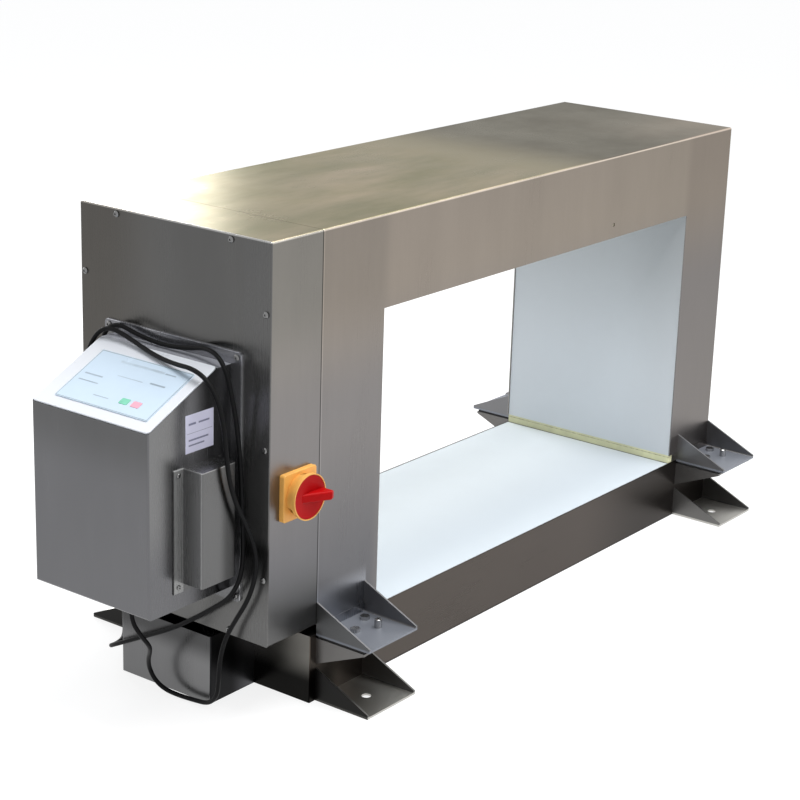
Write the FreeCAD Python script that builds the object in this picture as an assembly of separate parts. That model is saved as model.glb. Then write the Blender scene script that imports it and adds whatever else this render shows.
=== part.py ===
"""Conveyor metal detector: tunnel head, base, operator box, isolator and mains lead.

Millimetres. The origin lies on the floor under the middle of the tunnel. X runs across the belt,
Y along it (the front, with the isolator, faces -Y) and Z is up.
"""
import FreeCAD
import Part
import math
import os

V = FreeCAD.Vector
os.makedirs("parts", exist_ok=True)

# ---- Driving dimensions ------------------------------------------------------------------

# Case: tunnel head (an upside-down U), electronics housing at its left end, and base
tunnel_depth = 350.0          # front skin to rear skin, along the belt
skin = 2.0                    # stainless sheet of the cases
fold_radius = 3.0             # outside radius of a folded sheet edge
edge_break = 1.0              # radius of a ground or sheared edge
head_length = 1110.0          # head, across the belt
column_width = 136.0          # each leg of the head
beam_height = 135.0           # top beam of the head
aperture_height = 450.0       # base top to the underside of the beam
base_height = 103.0
base_overhang = 13.0          # base beyond the head at its left end
split_gap = 14.0              # between the base top and the head's legs
housing_length = 105.0        # electronics housing, with its end panel
lip_width = 18.0              # return lips that liners and panels are fixed to
lip_sheet = 2.0

# White plastic liners of the tunnel
liner_thickness = 4.0
liner_recess = 1.0            # side and top liners, behind the skin's edge
base_liner_recess = 0.5
liner_gap = 0.5               # round a liner in its pocket
seal_width = 12.0             # foam strip between base and leg
beam_hole_radius = 3.0        # small hole in the beam's front skin
beam_hole_x = 181.0
beam_hole_rise = 22.0         # above the beam's lower edge

# Brackets at the four corners: upper on the head, middle (upside down) and foot on the base
bracket_width = 110.0
bracket_reach = 96.0
bracket_height = 50.0
bracket_sheet = 3.0
bracket_tip = 6.0             # height of the gusset at its front end
bracket_bend = 3.0            # inside bend between floor and gussets
middle_bracket_height = 40.0
middle_bracket_setback = 9.0  # its front edge, behind the other two brackets'
middle_bracket_tip = 3.5
middle_bracket_drop = 6.0     # its top face below the base top
pad_thickness = 4.0
pad_margin = 2.0
anchor_hole_radius = 7.0
anchor_reach = 50.0           # hole centre out from the skin
jack_stud_radius = 5.5
jack_stud_height = 13.0       # above the upper bracket's floor
jack_stud_offset = 20.0       # from the bracket's middle, towards +X
jack_stud_reach = 52.0
jack_stud_slot = 2.0          # screwdriver slot, width and depth
clamp_screw_radius = 4.0      # M8
clamp_head_flats = 13.0
clamp_head_height = 5.3
clamp_nut_height = 6.5
clamp_near = 20.0             # inner clamp screw: out from the skin
clamp_near_offset = 30.0      # and from the bracket's middle
clamp_far = 37.0              # outer clamp screw
clamp_far_offset = -13.0
screw_clearance = 0.3         # between a screw and its clearance hole
thread_clearance = 0.05       # between a screw and its tapped hole
weld_nut_height = 5.0

# End panel and its M5 pan-head screws
panel_sheet = 2.0
screw_radius = 2.5
screw_head_radius = 4.6
screw_head_height = 3.0
screw_grip = 7.0              # shank beyond the sheet under the head
panel_screw_inset = 8.0
panel_screw_pitch_y = 210.0   # two screws along the top and along the bottom
panel_screw_pitch_z = 187.0   # three screws down each side
cable_hole_radius = 20.0
socket_depth = 1.2            # hexagon socket of a screw
socket_flats = 3.0

# Frame bolts, M6 hexagon, in nuts welded behind the sheet
bolt_radius = 3.0
bolt_head_flats = 10.0
bolt_head_height = 4.0
nut_pocket = 2.0              # room round a nut in the core behind it

# Cable box at the base's left end
cable_box_width = 173.0
cable_box_offset = 15.5       # its middle along Y
cable_box_proud = 2.0         # beyond the end panel's plane
cable_box_bolt_inset = 25.0   # from the box's sides
cable_box_bolt_low = 30.0
cable_box_bolt_high = 75.0
link_hole_z = 60.0            # way for the lead between base and electronics
link_hole_radius = 10.0
grommet_lip = 2.0

# Electronics on the mounting plate inside the housing
equipment_margin = 5.0        # from the case's lips
mounting_margin = 3.0         # mounting plate, from the case's skin
supply_width = 98.0
supply_length = 129.0
supply_depth = 40.0
supply_corner = 2.0
supply_drop = 89.0            # below the head's top
supply_slots = 12
supply_slot_depth = 2.0
supply_slot_margin = 10.0
receiver_width = 116.0
receiver_length = 156.0
receiver_post = 8.0
receiver_post_inset = 8.0
chip_depth = 12.0
chip_length = 30.0
receiver_coil_radius = 11.0
receiver_coil_depth = 18.0
receiver_coil_drop = 43.0     # below the board's top
rail_rise = 83.0              # above the head's lower end
rail_height = 35.0
rail_depth = 8.0
terminal_depth = 30.0
terminal_overlap = 4.0        # beyond the rail, above and below
terminals = 12

# Operator box on its mounting plate
plate_sheet = 3.0
plate_width = 254.0
plate_height = 358.0
plate_bottom = 172.0
plate_corner = 6.0
plate_screw_inset = 8.0
box_sheet = 1.5
box_width = 216.0
box_depth = 157.0
box_bottom = 190.0
box_front_height = 260.0
box_rear_height = 322.0
box_flat = 25.0               # level strip behind the slope
box_corner = 4.0

# Operator panel, film and keys on the slope
operator_sheet = 2.0
operator_margin = 1.0
operator_corner = 5.0
film_length = 170.0
film_width = 101.0
film_offset = 19.0            # from the slope's front edge
film_shift = -5.0             # its middle along Y
film_thickness = 1.2
film_corner = 2.0
key_length = 15.0
key_width = 11.0
key_height = 1.0
key_rise = 0.6                # underside of a resting key above the panel
key_stem_radius = 2.0
key_play = 0.3
key_travel = 0.5
key_offset = 41.0             # from the slope's front edge
green_key_y = -31.0
red_key_y = -52.0
keypad_length = 146.0
keypad_width = 86.0
keypad_drop = 6.4             # board's top under the operator panel
keypad_post_inset = 6.0
dome_radius = 3.5
dome_height = 0.8
board_thickness = 1.6
standoff_radius = 2.5
display_length = 80.0
display_width = 34.0
display_offset = 78.0         # from the slope's front edge

# Control board inside the operator box
control_post = 12.0
control_post_inset = 10.0
board_gap = 10.0              # between the board and the box's sides
board_gap_below = 25.0
board_gap_above = 15.0        # under the level of the box's front edge
transformer_width = 58.0
transformer_length = 65.0
transformer_depth = 42.0
transformer_inset = 10.0
transformer_drop = 20.0       # below the board's top
capacitor_radius = 9.0
capacitor_depth = 30.0
capacitor_pitch = 24.0
capacitor_drop = 45.0
relay_width = 25.0
relay_length = 27.0
relay_depth = 16.0
relay_pitch = 34.0
relay_rise = 20.0             # above the board's lower edge

# Side cover on the operator box
cover_length = 66.0
cover_height = 164.0
cover_depth = 35.0
cover_left = 64.0             # from the operator box's front
cover_bottom = 35.0           # above the operator box's bottom
cover_sheet = 1.5
cover_margin_left = 19.0
cover_margin_right = 8.0
cover_margin_bottom = 11.0
cover_screw_inset = 8.0
cover_screw_grip = 5.0
cover_screw_scale = 0.75      # M4 beside the M5 case screws
cover_window_margin = 8.0     # opening in the box's side, behind the cover

# Isolator on the housing's front skin
isolator_x = 55.5             # from the end panel's outer face
isolator_z = 329.5
isolator_size = 68.0
isolator_plate = 8.0
isolator_corner = 4.0
collar_radius = 29.0          # at the plate
collar_wall = 5.0
collar_height = 18.0
rim_radius = 33.0             # the collar flares out to its rim
rim_wall = 1.5
rim_height = 5.0              # the handle's disc turns inside it
lock_slots = 3                # for padlocks, through the collar
lock_slot_width = 8.0
lock_slot_length = 10.0       # along the axis
knob_play = 0.5               # round the disc and behind it
knob_recess = 0.5             # the disc's edge, behind the rim's
knob_dish = 2.0
hub_radius = 9.0
hub_height = 6.0
grip_width = 13.0
grip_height = 19.0            # above the disc's edge
grip_start = 20.0             # from the axis, where it rises from the disc
grip_shoulder = 24.0
grip_nose = 2.5               # its outer end slopes back
grip_end = 30.0
grip_edge = 3.0               # radius of its edges
shaft_radius = 4.0
shaft_clearance = 0.05
shaft_grip = 2.5              # shaft inside the grip
shaft_reach = 12.0            # shaft inside the switch
isolator_body_size = 50.0
isolator_body_depth = 48.0
contact_width = 8.0           # chambers of the switch's contacts
contact_pitch = 16.0
contact_inset = 6.0
contact_start = 14.0

# Coils and their formers
former_thickness = 24.0
rib_thickness = 15.0
core_wall = 12.0
inner_gap = 0.3               # round a part that is packed into a case
coil_width = 14.0
coil_height = 10.0
coil_corner = 60.0
cable_way_rise = 45.0         # centre of the coils' cable way above their board
base_coil_length = 780.0
base_coil_width = 290.0
beam_coil_width = 130.0

# Mains lead, 3 x 1.0 mm2 rubber cable
lead_radius = 3.25
gland_x = 75.0                # from the operator box's front
gland_y = 0.0
gland_thread_radius = 8.0
gland_flats = 20.0
gland_collar = 5.0            # hexagon height
gland_cap_radius = 8.8
gland_cap = 12.0
gland_nut = 5.0
relief_length = 20.0
relief_radius = 6.0
relief_rings = 4
lead_tail_inside = 12.0       # end of the lead inside the operator box

# Coil of spare lead, its tie and the plug, on the floor behind the base
coil_x = -385.0
coil_y = 225.0
coil_mean_radius = 36.0
coil_columns = 3
coil_layers = 2
turn_lead = 12.0              # where the lead joins the coil, from its middle
tie_width = 8.0
tie_thickness = 1.0
plug_x = -318.0               # its cable end
plug_y = 200.0
plug_radius = 19.0
plug_length = 56.0
plug_tail_radius = 5.5
pin_radius = 2.4
pin_length = 19.0
pin_pitch = 19.0

# ---- Levels and planes worked out from them ------------------------------------------------

half_depth = tunnel_depth / 2
head_half = head_length / 2
aperture_half = head_half - column_width
head_bottom = base_height + split_gap
beam_bottom = base_height + aperture_height
head_top = beam_bottom + beam_height
housing_left = -head_half - housing_length
wrapper_left = housing_left + panel_sheet
base_left = -head_half - base_overhang
middle_top = base_height - middle_bracket_drop
upper_floor = middle_top + pad_thickness
middle_reach = bracket_reach - middle_bracket_setback
isolator_place = housing_left + isolator_x
collar_well = collar_radius - collar_wall
box_back = housing_left - plate_sheet
box_front = box_back - box_depth
box_side = box_width / 2
box_front_top = box_bottom + box_front_height
box_rear_top = box_bottom + box_rear_height
slope_rise = box_rear_height - box_front_height
slope_run = box_depth - box_flat
slope_angle = math.atan2(slope_rise, slope_run)
slope_length = math.hypot(slope_rise, slope_run)
box_middle_z = box_bottom + box_front_height / 2
film_middle = film_offset + film_width / 2
key_places = {"key_green": green_key_y, "key_red": red_key_y}
liner_pocket = liner_recess + liner_thickness
lip_back = liner_pocket + lip_sheet
inside = half_depth - skin
core_ceiling = beam_bottom + lip_back
head_cable_z = core_ceiling + former_thickness + cable_way_rise
base_pocket = base_height - base_liner_recess - liner_thickness
base_lip = base_pocket - lip_sheet
panel_screw_z = (head_bottom + head_top) / 2
panel_screw_y = half_depth - panel_screw_inset
mounting_face = -head_half - 2 * lip_sheet
equipment_side = inside - lip_width - equipment_margin


# ---- Small shape helpers ---------------------------------------------------------------------

def block(x0, x1, y0, y1, z0, z1):
    return Part.makeBox(x1 - x0, y1 - y0, z1 - z0, V(x0, y0, z0))


def rod(radius, start, end):
    """Round bar from start to end."""
    return Part.makeCylinder(radius, (end - start).Length, start, end - start)


def outline_xz(points, y0, y1):
    """Prism along Y of a closed outline given as (x, z) points."""
    corners = [V(x, y0, z) for x, z in points]
    face = Part.Face(Part.makePolygon(corners + corners[:1]))
    return face.extrude(V(0, y1 - y0, 0))


def outline_yz(points, x0, x1):
    """Prism along X of a closed outline given as (y, z) points."""
    corners = [V(x0, y, z) for y, z in points]
    face = Part.Face(Part.makePolygon(corners + corners[:1]))
    return face.extrude(V(x1 - x0, 0, 0))


def upside_down_u(outer_half, inner_half, bottom, top, inner_top, depth_half):
    """Prism along Y of an upside-down U that is centred on X."""
    points = [(-outer_half, bottom), (-inner_half, bottom), (-inner_half, inner_top),
              (inner_half, inner_top), (inner_half, bottom), (outer_half, bottom),
              (outer_half, top), (-outer_half, top)]
    return outline_xz(points, -depth_half, depth_half)


def edges_on(shape, *tests):
    """Straight edges whose two ends both pass every test."""
    chosen = []
    for edge in shape.Edges:
        ends = [vertex.Point for vertex in edge.Vertexes]
        if len(ends) == 2 and all(test(end) for test in tests for end in ends):
            chosen.append(edge)
    return chosen


def at(axis, value):
    """Test: the point lies on the plane axis = value."""
    return lambda point: abs(getattr(point, axis) - value) < 1e-4


def rounded_plate(x0, x1, y0, y1, z0, z1, radius, axis):
    """Plate with its four corners rounded about the given axis."""
    plate = block(x0, x1, y0, y1, z0, z1)
    turned = [edge for edge in plate.Edges
              if abs(abs(edge.tangentAt(edge.FirstParameter).dot(axis)) - 1) < 1e-6]
    return plate.makeFillet(radius, turned)


def hexagon(flats, height, base, direction):
    """Hexagonal prism that stands on base and points along direction."""
    corners = [V(flats / math.sqrt(3) * math.cos(math.radians(60 * i)),
                 flats / math.sqrt(3) * math.sin(math.radians(60 * i)), 0) for i in range(7)]
    prism = Part.Face(Part.makePolygon(corners)).extrude(V(0, 0, height))
    prism.Placement = FreeCAD.Placement(base, FreeCAD.Rotation(V(0, 0, 1), direction))
    return prism


def save(name, *solids):
    """Write one node; several separate solids make a group."""
    shape = solids[0] if len(solids) == 1 else Part.makeCompound(list(solids))
    for solid in shape.Solids:
        if not solid.isValid() or not solid.isClosed():
            raise ValueError(f"{name} is not a valid closed solid")
    shape.exportStep(f"parts/{name}.step")
    print(f"{name}: {len(shape.Solids)} solid(s), {shape.Volume / 1000:.1f} cm3")


# ---- Tunnel head -------------------------------------------------------------------------------

def make_head_shell():
    """Folded case, open to the tunnel, where lips behind the edge carry the liners."""
    case = upside_down_u(head_half, aperture_half, head_bottom, head_top, beam_bottom, half_depth)
    long_folds = []
    for side in (-half_depth, half_depth):
        long_folds += edges_on(case, at("y", side), at("z", head_top))
        long_folds += edges_on(case, at("y", side), at("x", head_half))
    long_folds += edges_on(case, at("x", head_half), at("z", head_top))
    case = case.makeFillet(fold_radius, long_folds)
    joint_edges = [edge for edge in case.Edges
                   if all(abs(vertex.Point.x + head_half) < 1e-4 for vertex in edge.Vertexes)
                   and edge.BoundBox.XLength < 1e-4 and edge.BoundBox.ZMax > head_bottom + 1]
    case = case.makeFillet(edge_break, joint_edges)
    cavity = upside_down_u(head_half - skin, aperture_half + lip_back, head_bottom + skin,
                           head_top - skin, beam_bottom + lip_back, inside)
    pocket = upside_down_u(aperture_half + liner_pocket, aperture_half - 1, head_bottom - 1,
                           beam_bottom + liner_pocket, beam_bottom - 1, inside)
    lip_window = upside_down_u(aperture_half + lip_back + 1, aperture_half + liner_pocket - 1,
                               head_bottom + skin + lip_width, beam_bottom + lip_back + 1,
                               beam_bottom + liner_pocket - 1, inside - lip_width)
    cable_hole = rod(cable_hole_radius, V(-head_half - 1, 0, head_cable_z),
                     V(-head_half + skin + 1, 0, head_cable_z))
    beam_hole_z = beam_bottom + beam_hole_rise
    beam_hole = rod(beam_hole_radius, V(beam_hole_x, -half_depth - 1, beam_hole_z),
                    V(beam_hole_x, -inside + 1, beam_hole_z))
    case = case.cut([cavity, pocket, lip_window, cable_hole, beam_hole])
    nuts = [hexagon(bolt_head_flats, weld_nut_height, V(-head_half + skin, y, z), V(1, 0, 0))
            for y, z in frame_bolt_places()]
    return case.fuse(nuts).cut(frame_bolt_holes(thread_clearance))


def make_liners():
    """White plates that close the head's tunnel faces."""
    face = aperture_half + liner_recess
    back = aperture_half + liner_pocket
    half = inside - liner_gap
    top = beam_bottom + liner_pocket
    right = block(face, back, -half, half, head_bottom, top)
    left = block(-back, -face, -half, half, head_bottom, top)
    ceiling = block(-face + inner_gap, face - inner_gap, -half, half, top - liner_thickness, top)
    save("head_liner_right", right)
    save("head_liner_left", left)
    save("head_liner_top", ceiling)


def racetrack(length, width, corner, band, z0, z1, y_middle):
    """Closed rectangular ring with round corners: a wound coil or its groove."""
    outer = rounded_plate(-length / 2, length / 2, y_middle - width / 2, y_middle + width / 2,
                          z0, z1, corner, V(0, 0, 1))
    inner = rounded_plate(-length / 2 + band, length / 2 - band, y_middle - width / 2 + band,
                          y_middle + width / 2 - band, z0 - 1, z1 + 1, corner - band, V(0, 0, 1))
    return outer.cut(inner)


def coil_and_groove(length, width, corner, z0, z1, opens_up, y_middle):
    """The coil, and the slightly larger groove in its former."""
    coil = racetrack(length, width, corner, coil_width, z0, z1, y_middle)
    low, high = (z0 - inner_gap, z1 + 1) if opens_up else (z0 - 1, z1 + inner_gap)
    groove = racetrack(length + 2 * inner_gap, width + 2 * inner_gap, corner + inner_gap,
                       coil_width + 2 * inner_gap, low, high, y_middle)
    return coil, groove


def ribs(x0, x1, z0, z1, half_width):
    """Three ribs along a former: at its two edges and in its middle."""
    places = (-half_width, -rib_thickness / 2, half_width - rib_thickness)
    return [block(x0, x1, y, y + rib_thickness, z0, z1) for y in places]


def make_head_inside():
    """Receive coils on their former in the beam, and stiffening cores in the legs."""
    half = inside - inner_gap
    end = head_half - skin - inner_gap
    low = core_ceiling + inner_gap
    board = block(-end, end, -half, half, low, low + former_thickness)
    former = board.fuse(ribs(-end, end, low + former_thickness, head_top - skin - inner_gap, half))
    coils = []
    for y in (-half / 2, half / 2):
        coil, groove = coil_and_groove(base_coil_length, beam_coil_width, coil_corner,
                                       low, low + coil_height, False, y)
        former = former.cut(groove)
        coils.append(coil)
    save("receive_coils", *coils)
    wire_way = rod(cable_hole_radius, V(-end - 1, 0, head_cable_z), V(-end + 60, 0, head_cable_z))
    save("beam_coil_former", former.cut([wire_way] + frame_nut_pockets()).removeSplitter())
    cores = []
    for side in (-1, 1):
        near = side * (aperture_half + lip_back + inner_gap)
        far = side * end
        x0, x1 = min(near, far), max(near, far)
        core = block(x0, x1, -half, half, head_bottom + skin + inner_gap, core_ceiling)
        hollow = block(x0 + core_wall, x1 - core_wall, -half + core_wall, half - core_wall,
                       head_bottom, core_ceiling + 1)
        cores.append(core.cut([hollow] + frame_nut_pockets()))
    save("column_cores", *cores)


# ---- Base --------------------------------------------------------------------------------------

def make_base():
    """Shallow case under the belt, its top let in with a white liner."""
    case = block(base_left, head_half, -half_depth, half_depth, 0, base_height)
    upper_edges = []
    for side in (-half_depth, half_depth):
        upper_edges += edges_on(case, at("y", side), at("z", base_height))
        upper_edges += edges_on(case, at("y", side), at("x", base_left))
        upper_edges += edges_on(case, at("y", side), at("x", head_half))
    case = case.makeFillet(edge_break, upper_edges)
    x0, x1 = base_left + skin, head_half - skin
    wall = aperture_half + lip_sheet
    cavity = block(x0, x1, -inside, inside, skin + lip_sheet, base_lip)
    raised_left = block(x0, -wall, -inside, inside, base_lip - 1, base_height - skin)
    raised_right = block(wall, x1, -inside, inside, base_lip - 1, base_height - skin)
    pocket = block(-aperture_half, aperture_half, -inside, inside, base_pocket, base_height + 1)
    top_window = block(-aperture_half + lip_width, aperture_half - lip_width,
                       -inside + lip_width, inside - lip_width, base_lip - 1, base_pocket + 1)
    plate_pocket = block(x0, x1, -inside, inside, -1, skin)
    plate_window = block(x0 + lip_width, x1 - lip_width, -inside + lip_width, inside - lip_width,
                         skin - 1, skin + lip_sheet + 1)
    link_hole = rod(link_hole_radius, V(base_left - 1, cable_box_offset, link_hole_z),
                    V(base_left + skin + 1, cable_box_offset, link_hole_z))
    case = case.cut([cavity, raised_left, raised_right, pocket, top_window, plate_pocket,
                     plate_window, link_hole])
    nuts = [hexagon(bolt_head_flats, weld_nut_height, V(x0, y, z), V(1, 0, 0))
            for y, z in cable_box_bolt_places()]
    save("base_shell", case.fuse(nuts).cut(cable_box_bolt_holes(thread_clearance)))

    half = inside - liner_gap
    save("base_liner", block(-aperture_half + liner_gap, aperture_half - liner_gap, -half, half,
                             base_pocket, base_pocket + liner_thickness))
    save("base_bottom_plate", block(x0 + liner_gap, x1 - liner_gap, -half, half, 0, skin))

    packed = inside - inner_gap
    end0, end1 = x0 + weld_nut_height + nut_pocket, x1 - inner_gap
    top = base_lip - inner_gap
    board = block(end0, end1, -packed, packed, top - former_thickness, top)
    foot = skin + lip_sheet + inner_gap
    former = board.fuse(ribs(end0, end1, foot, top - former_thickness, packed))
    coil, groove = coil_and_groove(base_coil_length, base_coil_width, coil_corner,
                                   top - coil_height, top, True, 0)
    save("transmit_coil", coil)
    save("transmit_coil_former", former.cut(groove).removeSplitter())


def make_split_seals():
    """Foam strips that close the slot between base and legs on the tunnel side."""
    strips = []
    near = aperture_half + liner_recess
    for side in (-1, 1):
        x0, x1 = sorted((side * near, side * (near + seal_width)))
        strips.append(block(x0, x1, -inside + liner_gap, inside - liner_gap,
                            base_height, head_bottom))
    save("split_seals", *strips)


# ---- Electronics housing -------------------------------------------------------------------------

def panel_screw_places():
    """Positions (y, z) of the end panel's screws."""
    sides = [(side * panel_screw_y, panel_screw_z + row * panel_screw_pitch_z)
             for side in (-1, 1) for row in (-1, 0, 1)]
    ends = [(side * panel_screw_pitch_y / 2, level) for side in (-1, 1)
            for level in (head_bottom + panel_screw_inset, head_top - panel_screw_inset)]
    return sides + ends


def frame_bolt_places():
    """Positions (y, z) of the bolts that join housing and head."""
    return [(side * (inside - lip_width / 2), panel_screw_z + row * panel_screw_pitch_z)
            for side in (-1, 1) for row in (-1, 0, 1)]


def frame_bolt_holes(play):
    return [rod(bolt_radius + play, V(-head_half - 20, y, z), V(-head_half + 20, y, z))
            for y, z in frame_bolt_places()]


def frame_nut_pockets():
    """Room for the head's weld nuts in the cores that fill it."""
    return [rod(bolt_head_flats / math.sqrt(3) + nut_pocket, V(-head_half, y, z),
                V(-head_half + skin + weld_nut_height + nut_pocket, y, z))
            for y, z in frame_bolt_places()]


def make_housing():
    """Square tube of folded sheet with a lip at each end, its end panel and mounting plate."""
    tube = block(wrapper_left, -head_half, -half_depth, half_depth, head_bottom, head_top)
    folds = []
    for side in (-half_depth, half_depth):
        for level in (head_bottom, head_top):
            folds += edges_on(tube, at("y", side), at("z", level))
    tube = tube.makeFillet(fold_radius, folds)
    hollow = block(wrapper_left + lip_sheet, -head_half - lip_sheet, -inside, inside,
                   head_bottom + skin, head_top - skin)
    ends = block(wrapper_left - 1, -head_half + 1, -inside + lip_width, inside - lip_width,
                 head_bottom + skin + lip_width, head_top - skin - lip_width)
    cuts = [hollow, ends]
    cuts += [rod(screw_radius + thread_clearance, V(wrapper_left - 1, y, z),
                 V(wrapper_left + lip_sheet + 1, y, z)) for y, z in panel_screw_places()]
    cuts += frame_bolt_holes(screw_clearance)
    cuts.append(rod(collar_well, V(isolator_place, -half_depth - 1, isolator_z),
                    V(isolator_place, -inside + 1, isolator_z)))
    cuts.append(rod(link_hole_radius, V(isolator_place, cable_box_offset, head_bottom - 1),
                    V(isolator_place, cable_box_offset, head_bottom + skin + 1)))
    save("housing_wrapper", tube.cut(cuts))

    panel = rounded_plate(housing_left, wrapper_left, -half_depth, half_depth, head_bottom,
                          head_top, fold_radius, V(1, 0, 0))
    rim = [edge for edge in panel.Edges
           if abs(edge.BoundBox.XMin - housing_left) < 1e-4 and edge.BoundBox.XLength < 1e-4]
    panel = panel.makeFillet(edge_break, rim)
    holes = [rod(screw_radius + screw_clearance, V(housing_left - 1, y, z),
                 V(wrapper_left + 1, y, z)) for y, z in panel_screw_places()]
    holes += [rod(screw_radius + thread_clearance, V(housing_left - 1, y, z),
                  V(wrapper_left + 1, y, z)) for y, z in plate_screw_places()]
    holes.append(rod(cable_hole_radius, V(housing_left - 1, 0, box_middle_z),
                     V(wrapper_left + 1, 0, box_middle_z)))
    save("end_panel", panel.cut(holes))

    side = inside - mounting_margin
    plate = block(mounting_face, -head_half - lip_sheet, -side, side,
                  head_bottom + skin + mounting_margin, head_top - skin - mounting_margin)
    cable_hole = rod(cable_hole_radius, V(-head_half - 10, 0, head_cable_z),
                     V(-head_half + 1, 0, head_cable_z))
    save("mounting_plate", plate.cut([cable_hole] + frame_bolt_holes(screw_clearance)))


def plate_screw_places():
    """Positions (y, z) of the screws in the operator box's mounting plate."""
    reach = plate_width / 2 - plate_screw_inset
    return [(side * reach, level) for side in (-1, 1)
            for level in (plate_bottom + plate_screw_inset,
                          plate_bottom + plate_height - plate_screw_inset)]


def cover_screw_places():
    """Positions (x, z) of the side cover's screws."""
    x0 = box_front + cover_left
    low = box_bottom + cover_bottom - cover_margin_bottom + cover_screw_inset
    high = box_bottom + cover_bottom + cover_height - cover_screw_inset
    left = x0 - cover_margin_left / 2
    right = x0 + cover_length + cover_margin_right / 2
    return [(x, z) for x in (left, right) for z in (low, high)]


def pan_head_screw(seat, direction, grip, scale):
    """Screw whose head stands on seat, points along direction, and grips the other way."""
    head = Part.makeCylinder(screw_head_radius * scale, screw_head_height * scale, seat, direction)
    outer = seat + direction * screw_head_height * scale
    rim = [edge for edge in head.Edges
           if abs((edge.BoundBox.Center - outer).dot(direction)) < 1e-4
           and edge.BoundBox.DiagonalLength > screw_head_radius * scale]
    head = head.makeChamfer(screw_head_height * scale / 2, rim)
    shank = rod(screw_radius * scale, seat, seat - direction * grip)
    socket = hexagon(socket_flats * scale, screw_head_height, outer - direction * socket_depth,
                     direction)
    return head.fuse(shank).cut(socket)


def make_case_screws():
    """One size of pan-head screw holds the end panel and the operator box's plate."""
    outward = V(-1, 0, 0)
    screws = [pan_head_screw(V(housing_left, y, z), outward, screw_grip, 1.0)
              for y, z in panel_screw_places()]
    screws += [pan_head_screw(V(box_back, y, z), outward, screw_grip, 1.0)
               for y, z in plate_screw_places()]
    save("case_screws", *screws)
    cover_face = -box_side - cover_sheet
    save("cover_screws", *[pan_head_screw(V(x, cover_face, z), V(0, -1, 0), cover_screw_grip,
                                          cover_screw_scale) for x, z in cover_screw_places()])


def make_frame_bolts():
    """Hexagon bolts: six between housing and head, four between cable box and base."""
    joints = [(mounting_face, 2 * lip_sheet + skin, frame_bolt_places()),
              (base_left - skin, 2 * skin, cable_box_bolt_places())]
    bolts = []
    for seat_x, clamped, places in joints:
        for y, z in places:
            seat = V(seat_x, y, z)
            head = hexagon(bolt_head_flats, bolt_head_height, seat, V(-1, 0, 0))
            shank = rod(bolt_radius, seat, seat + V(clamped + weld_nut_height, 0, 0))
            bolts.append(head.fuse(shank))
    save("frame_bolts", *bolts)


def make_electronics():
    """Power supply, receiver board and terminals on the mounting plate."""
    face = mounting_face
    top = head_top - supply_drop
    low = top - supply_length
    side = -equipment_side
    supply = rounded_plate(face - supply_depth, face, side, side + supply_width, low, top,
                           supply_corner, V(1, 0, 0))
    pitch = supply_width / supply_slots
    slots = [block(face - supply_depth - 1, face - supply_depth + supply_slot_depth,
                   side + (i + 0.25) * pitch, side + (i + 0.75) * pitch,
                   low + supply_slot_margin, top - supply_slot_margin)
             for i in range(supply_slots)]
    save("power_supply", supply.cut(slots))

    y1 = equipment_side
    y0 = y1 - receiver_width
    z0 = top - receiver_length
    back = face - receiver_post
    front = back - board_thickness
    posts = [rod(standoff_radius, V(face, y, z), V(back, y, z))
             for y in (y0 + receiver_post_inset, y1 - receiver_post_inset)
             for z in (z0 + receiver_post_inset, top - receiver_post_inset)]
    board = block(front, back, y0, y1, z0, top)
    pitch = receiver_width / 3
    chip_z = z0 + chip_length
    chips = [block(front - chip_depth, front, y0 + (i + 0.2) * pitch, y0 + (i + 0.8) * pitch,
                   chip_z, chip_z + chip_length) for i in range(3)]
    coil_z = top - receiver_coil_drop
    coils = [rod(receiver_coil_radius, V(front, y0 + (i + 0.5) * pitch, coil_z),
                 V(front - receiver_coil_depth, y0 + (i + 0.5) * pitch, coil_z))
             for i in range(3)]
    save("receiver_board", board.fuse(posts + chips + coils))

    rail_z = head_bottom + rail_rise
    rail = block(face - rail_depth, face, -equipment_side, equipment_side, rail_z,
                 rail_z + rail_height)
    pitch = 2 * equipment_side / (terminals + 1)
    clamps = [block(face - rail_depth - terminal_depth, face - rail_depth,
                    (i - terminals / 2 + 0.05) * pitch, (i - terminals / 2 + 0.95) * pitch,
                    rail_z - terminal_overlap, rail_z + rail_height + terminal_overlap)
              for i in range(terminals)]
    save("terminal_block", rail.fuse(clamps))


# ---- Cable box -----------------------------------------------------------------------------------

def cable_box_bolt_places():
    """Positions (y, z) of the bolts between cable box and base."""
    reach = cable_box_width / 2 - cable_box_bolt_inset
    return [(cable_box_offset + side * reach, level) for side in (-1, 1)
            for level in (cable_box_bolt_low, cable_box_bolt_high)]


def cable_box_bolt_holes(play):
    return [rod(bolt_radius + play, V(base_left - 10, y, z), V(base_left + 10, y, z))
            for y, z in cable_box_bolt_places()]


def make_cable_box():
    """Open-topped folded box at the base's end, where the base's lead comes out."""
    x0 = housing_left - cable_box_proud
    y0 = cable_box_offset - cable_box_width / 2
    y1 = cable_box_offset + cable_box_width / 2
    box = block(x0, base_left, y0, y1, 0, base_height)
    folds = edges_on(box, at("x", x0), at("y", y0)) + edges_on(box, at("x", x0), at("y", y1))
    box = box.makeFillet(fold_radius, folds)
    hollow = block(x0 + skin, base_left - skin, y0 + skin, y1 - skin, skin, base_height + 1)
    hole = rod(link_hole_radius, V(base_left - skin - 1, cable_box_offset, link_hole_z),
               V(base_left + 1, cable_box_offset, link_hole_z))
    save("cable_box", box.cut([hollow, hole] + cable_box_bolt_holes(screw_clearance)))


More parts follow.
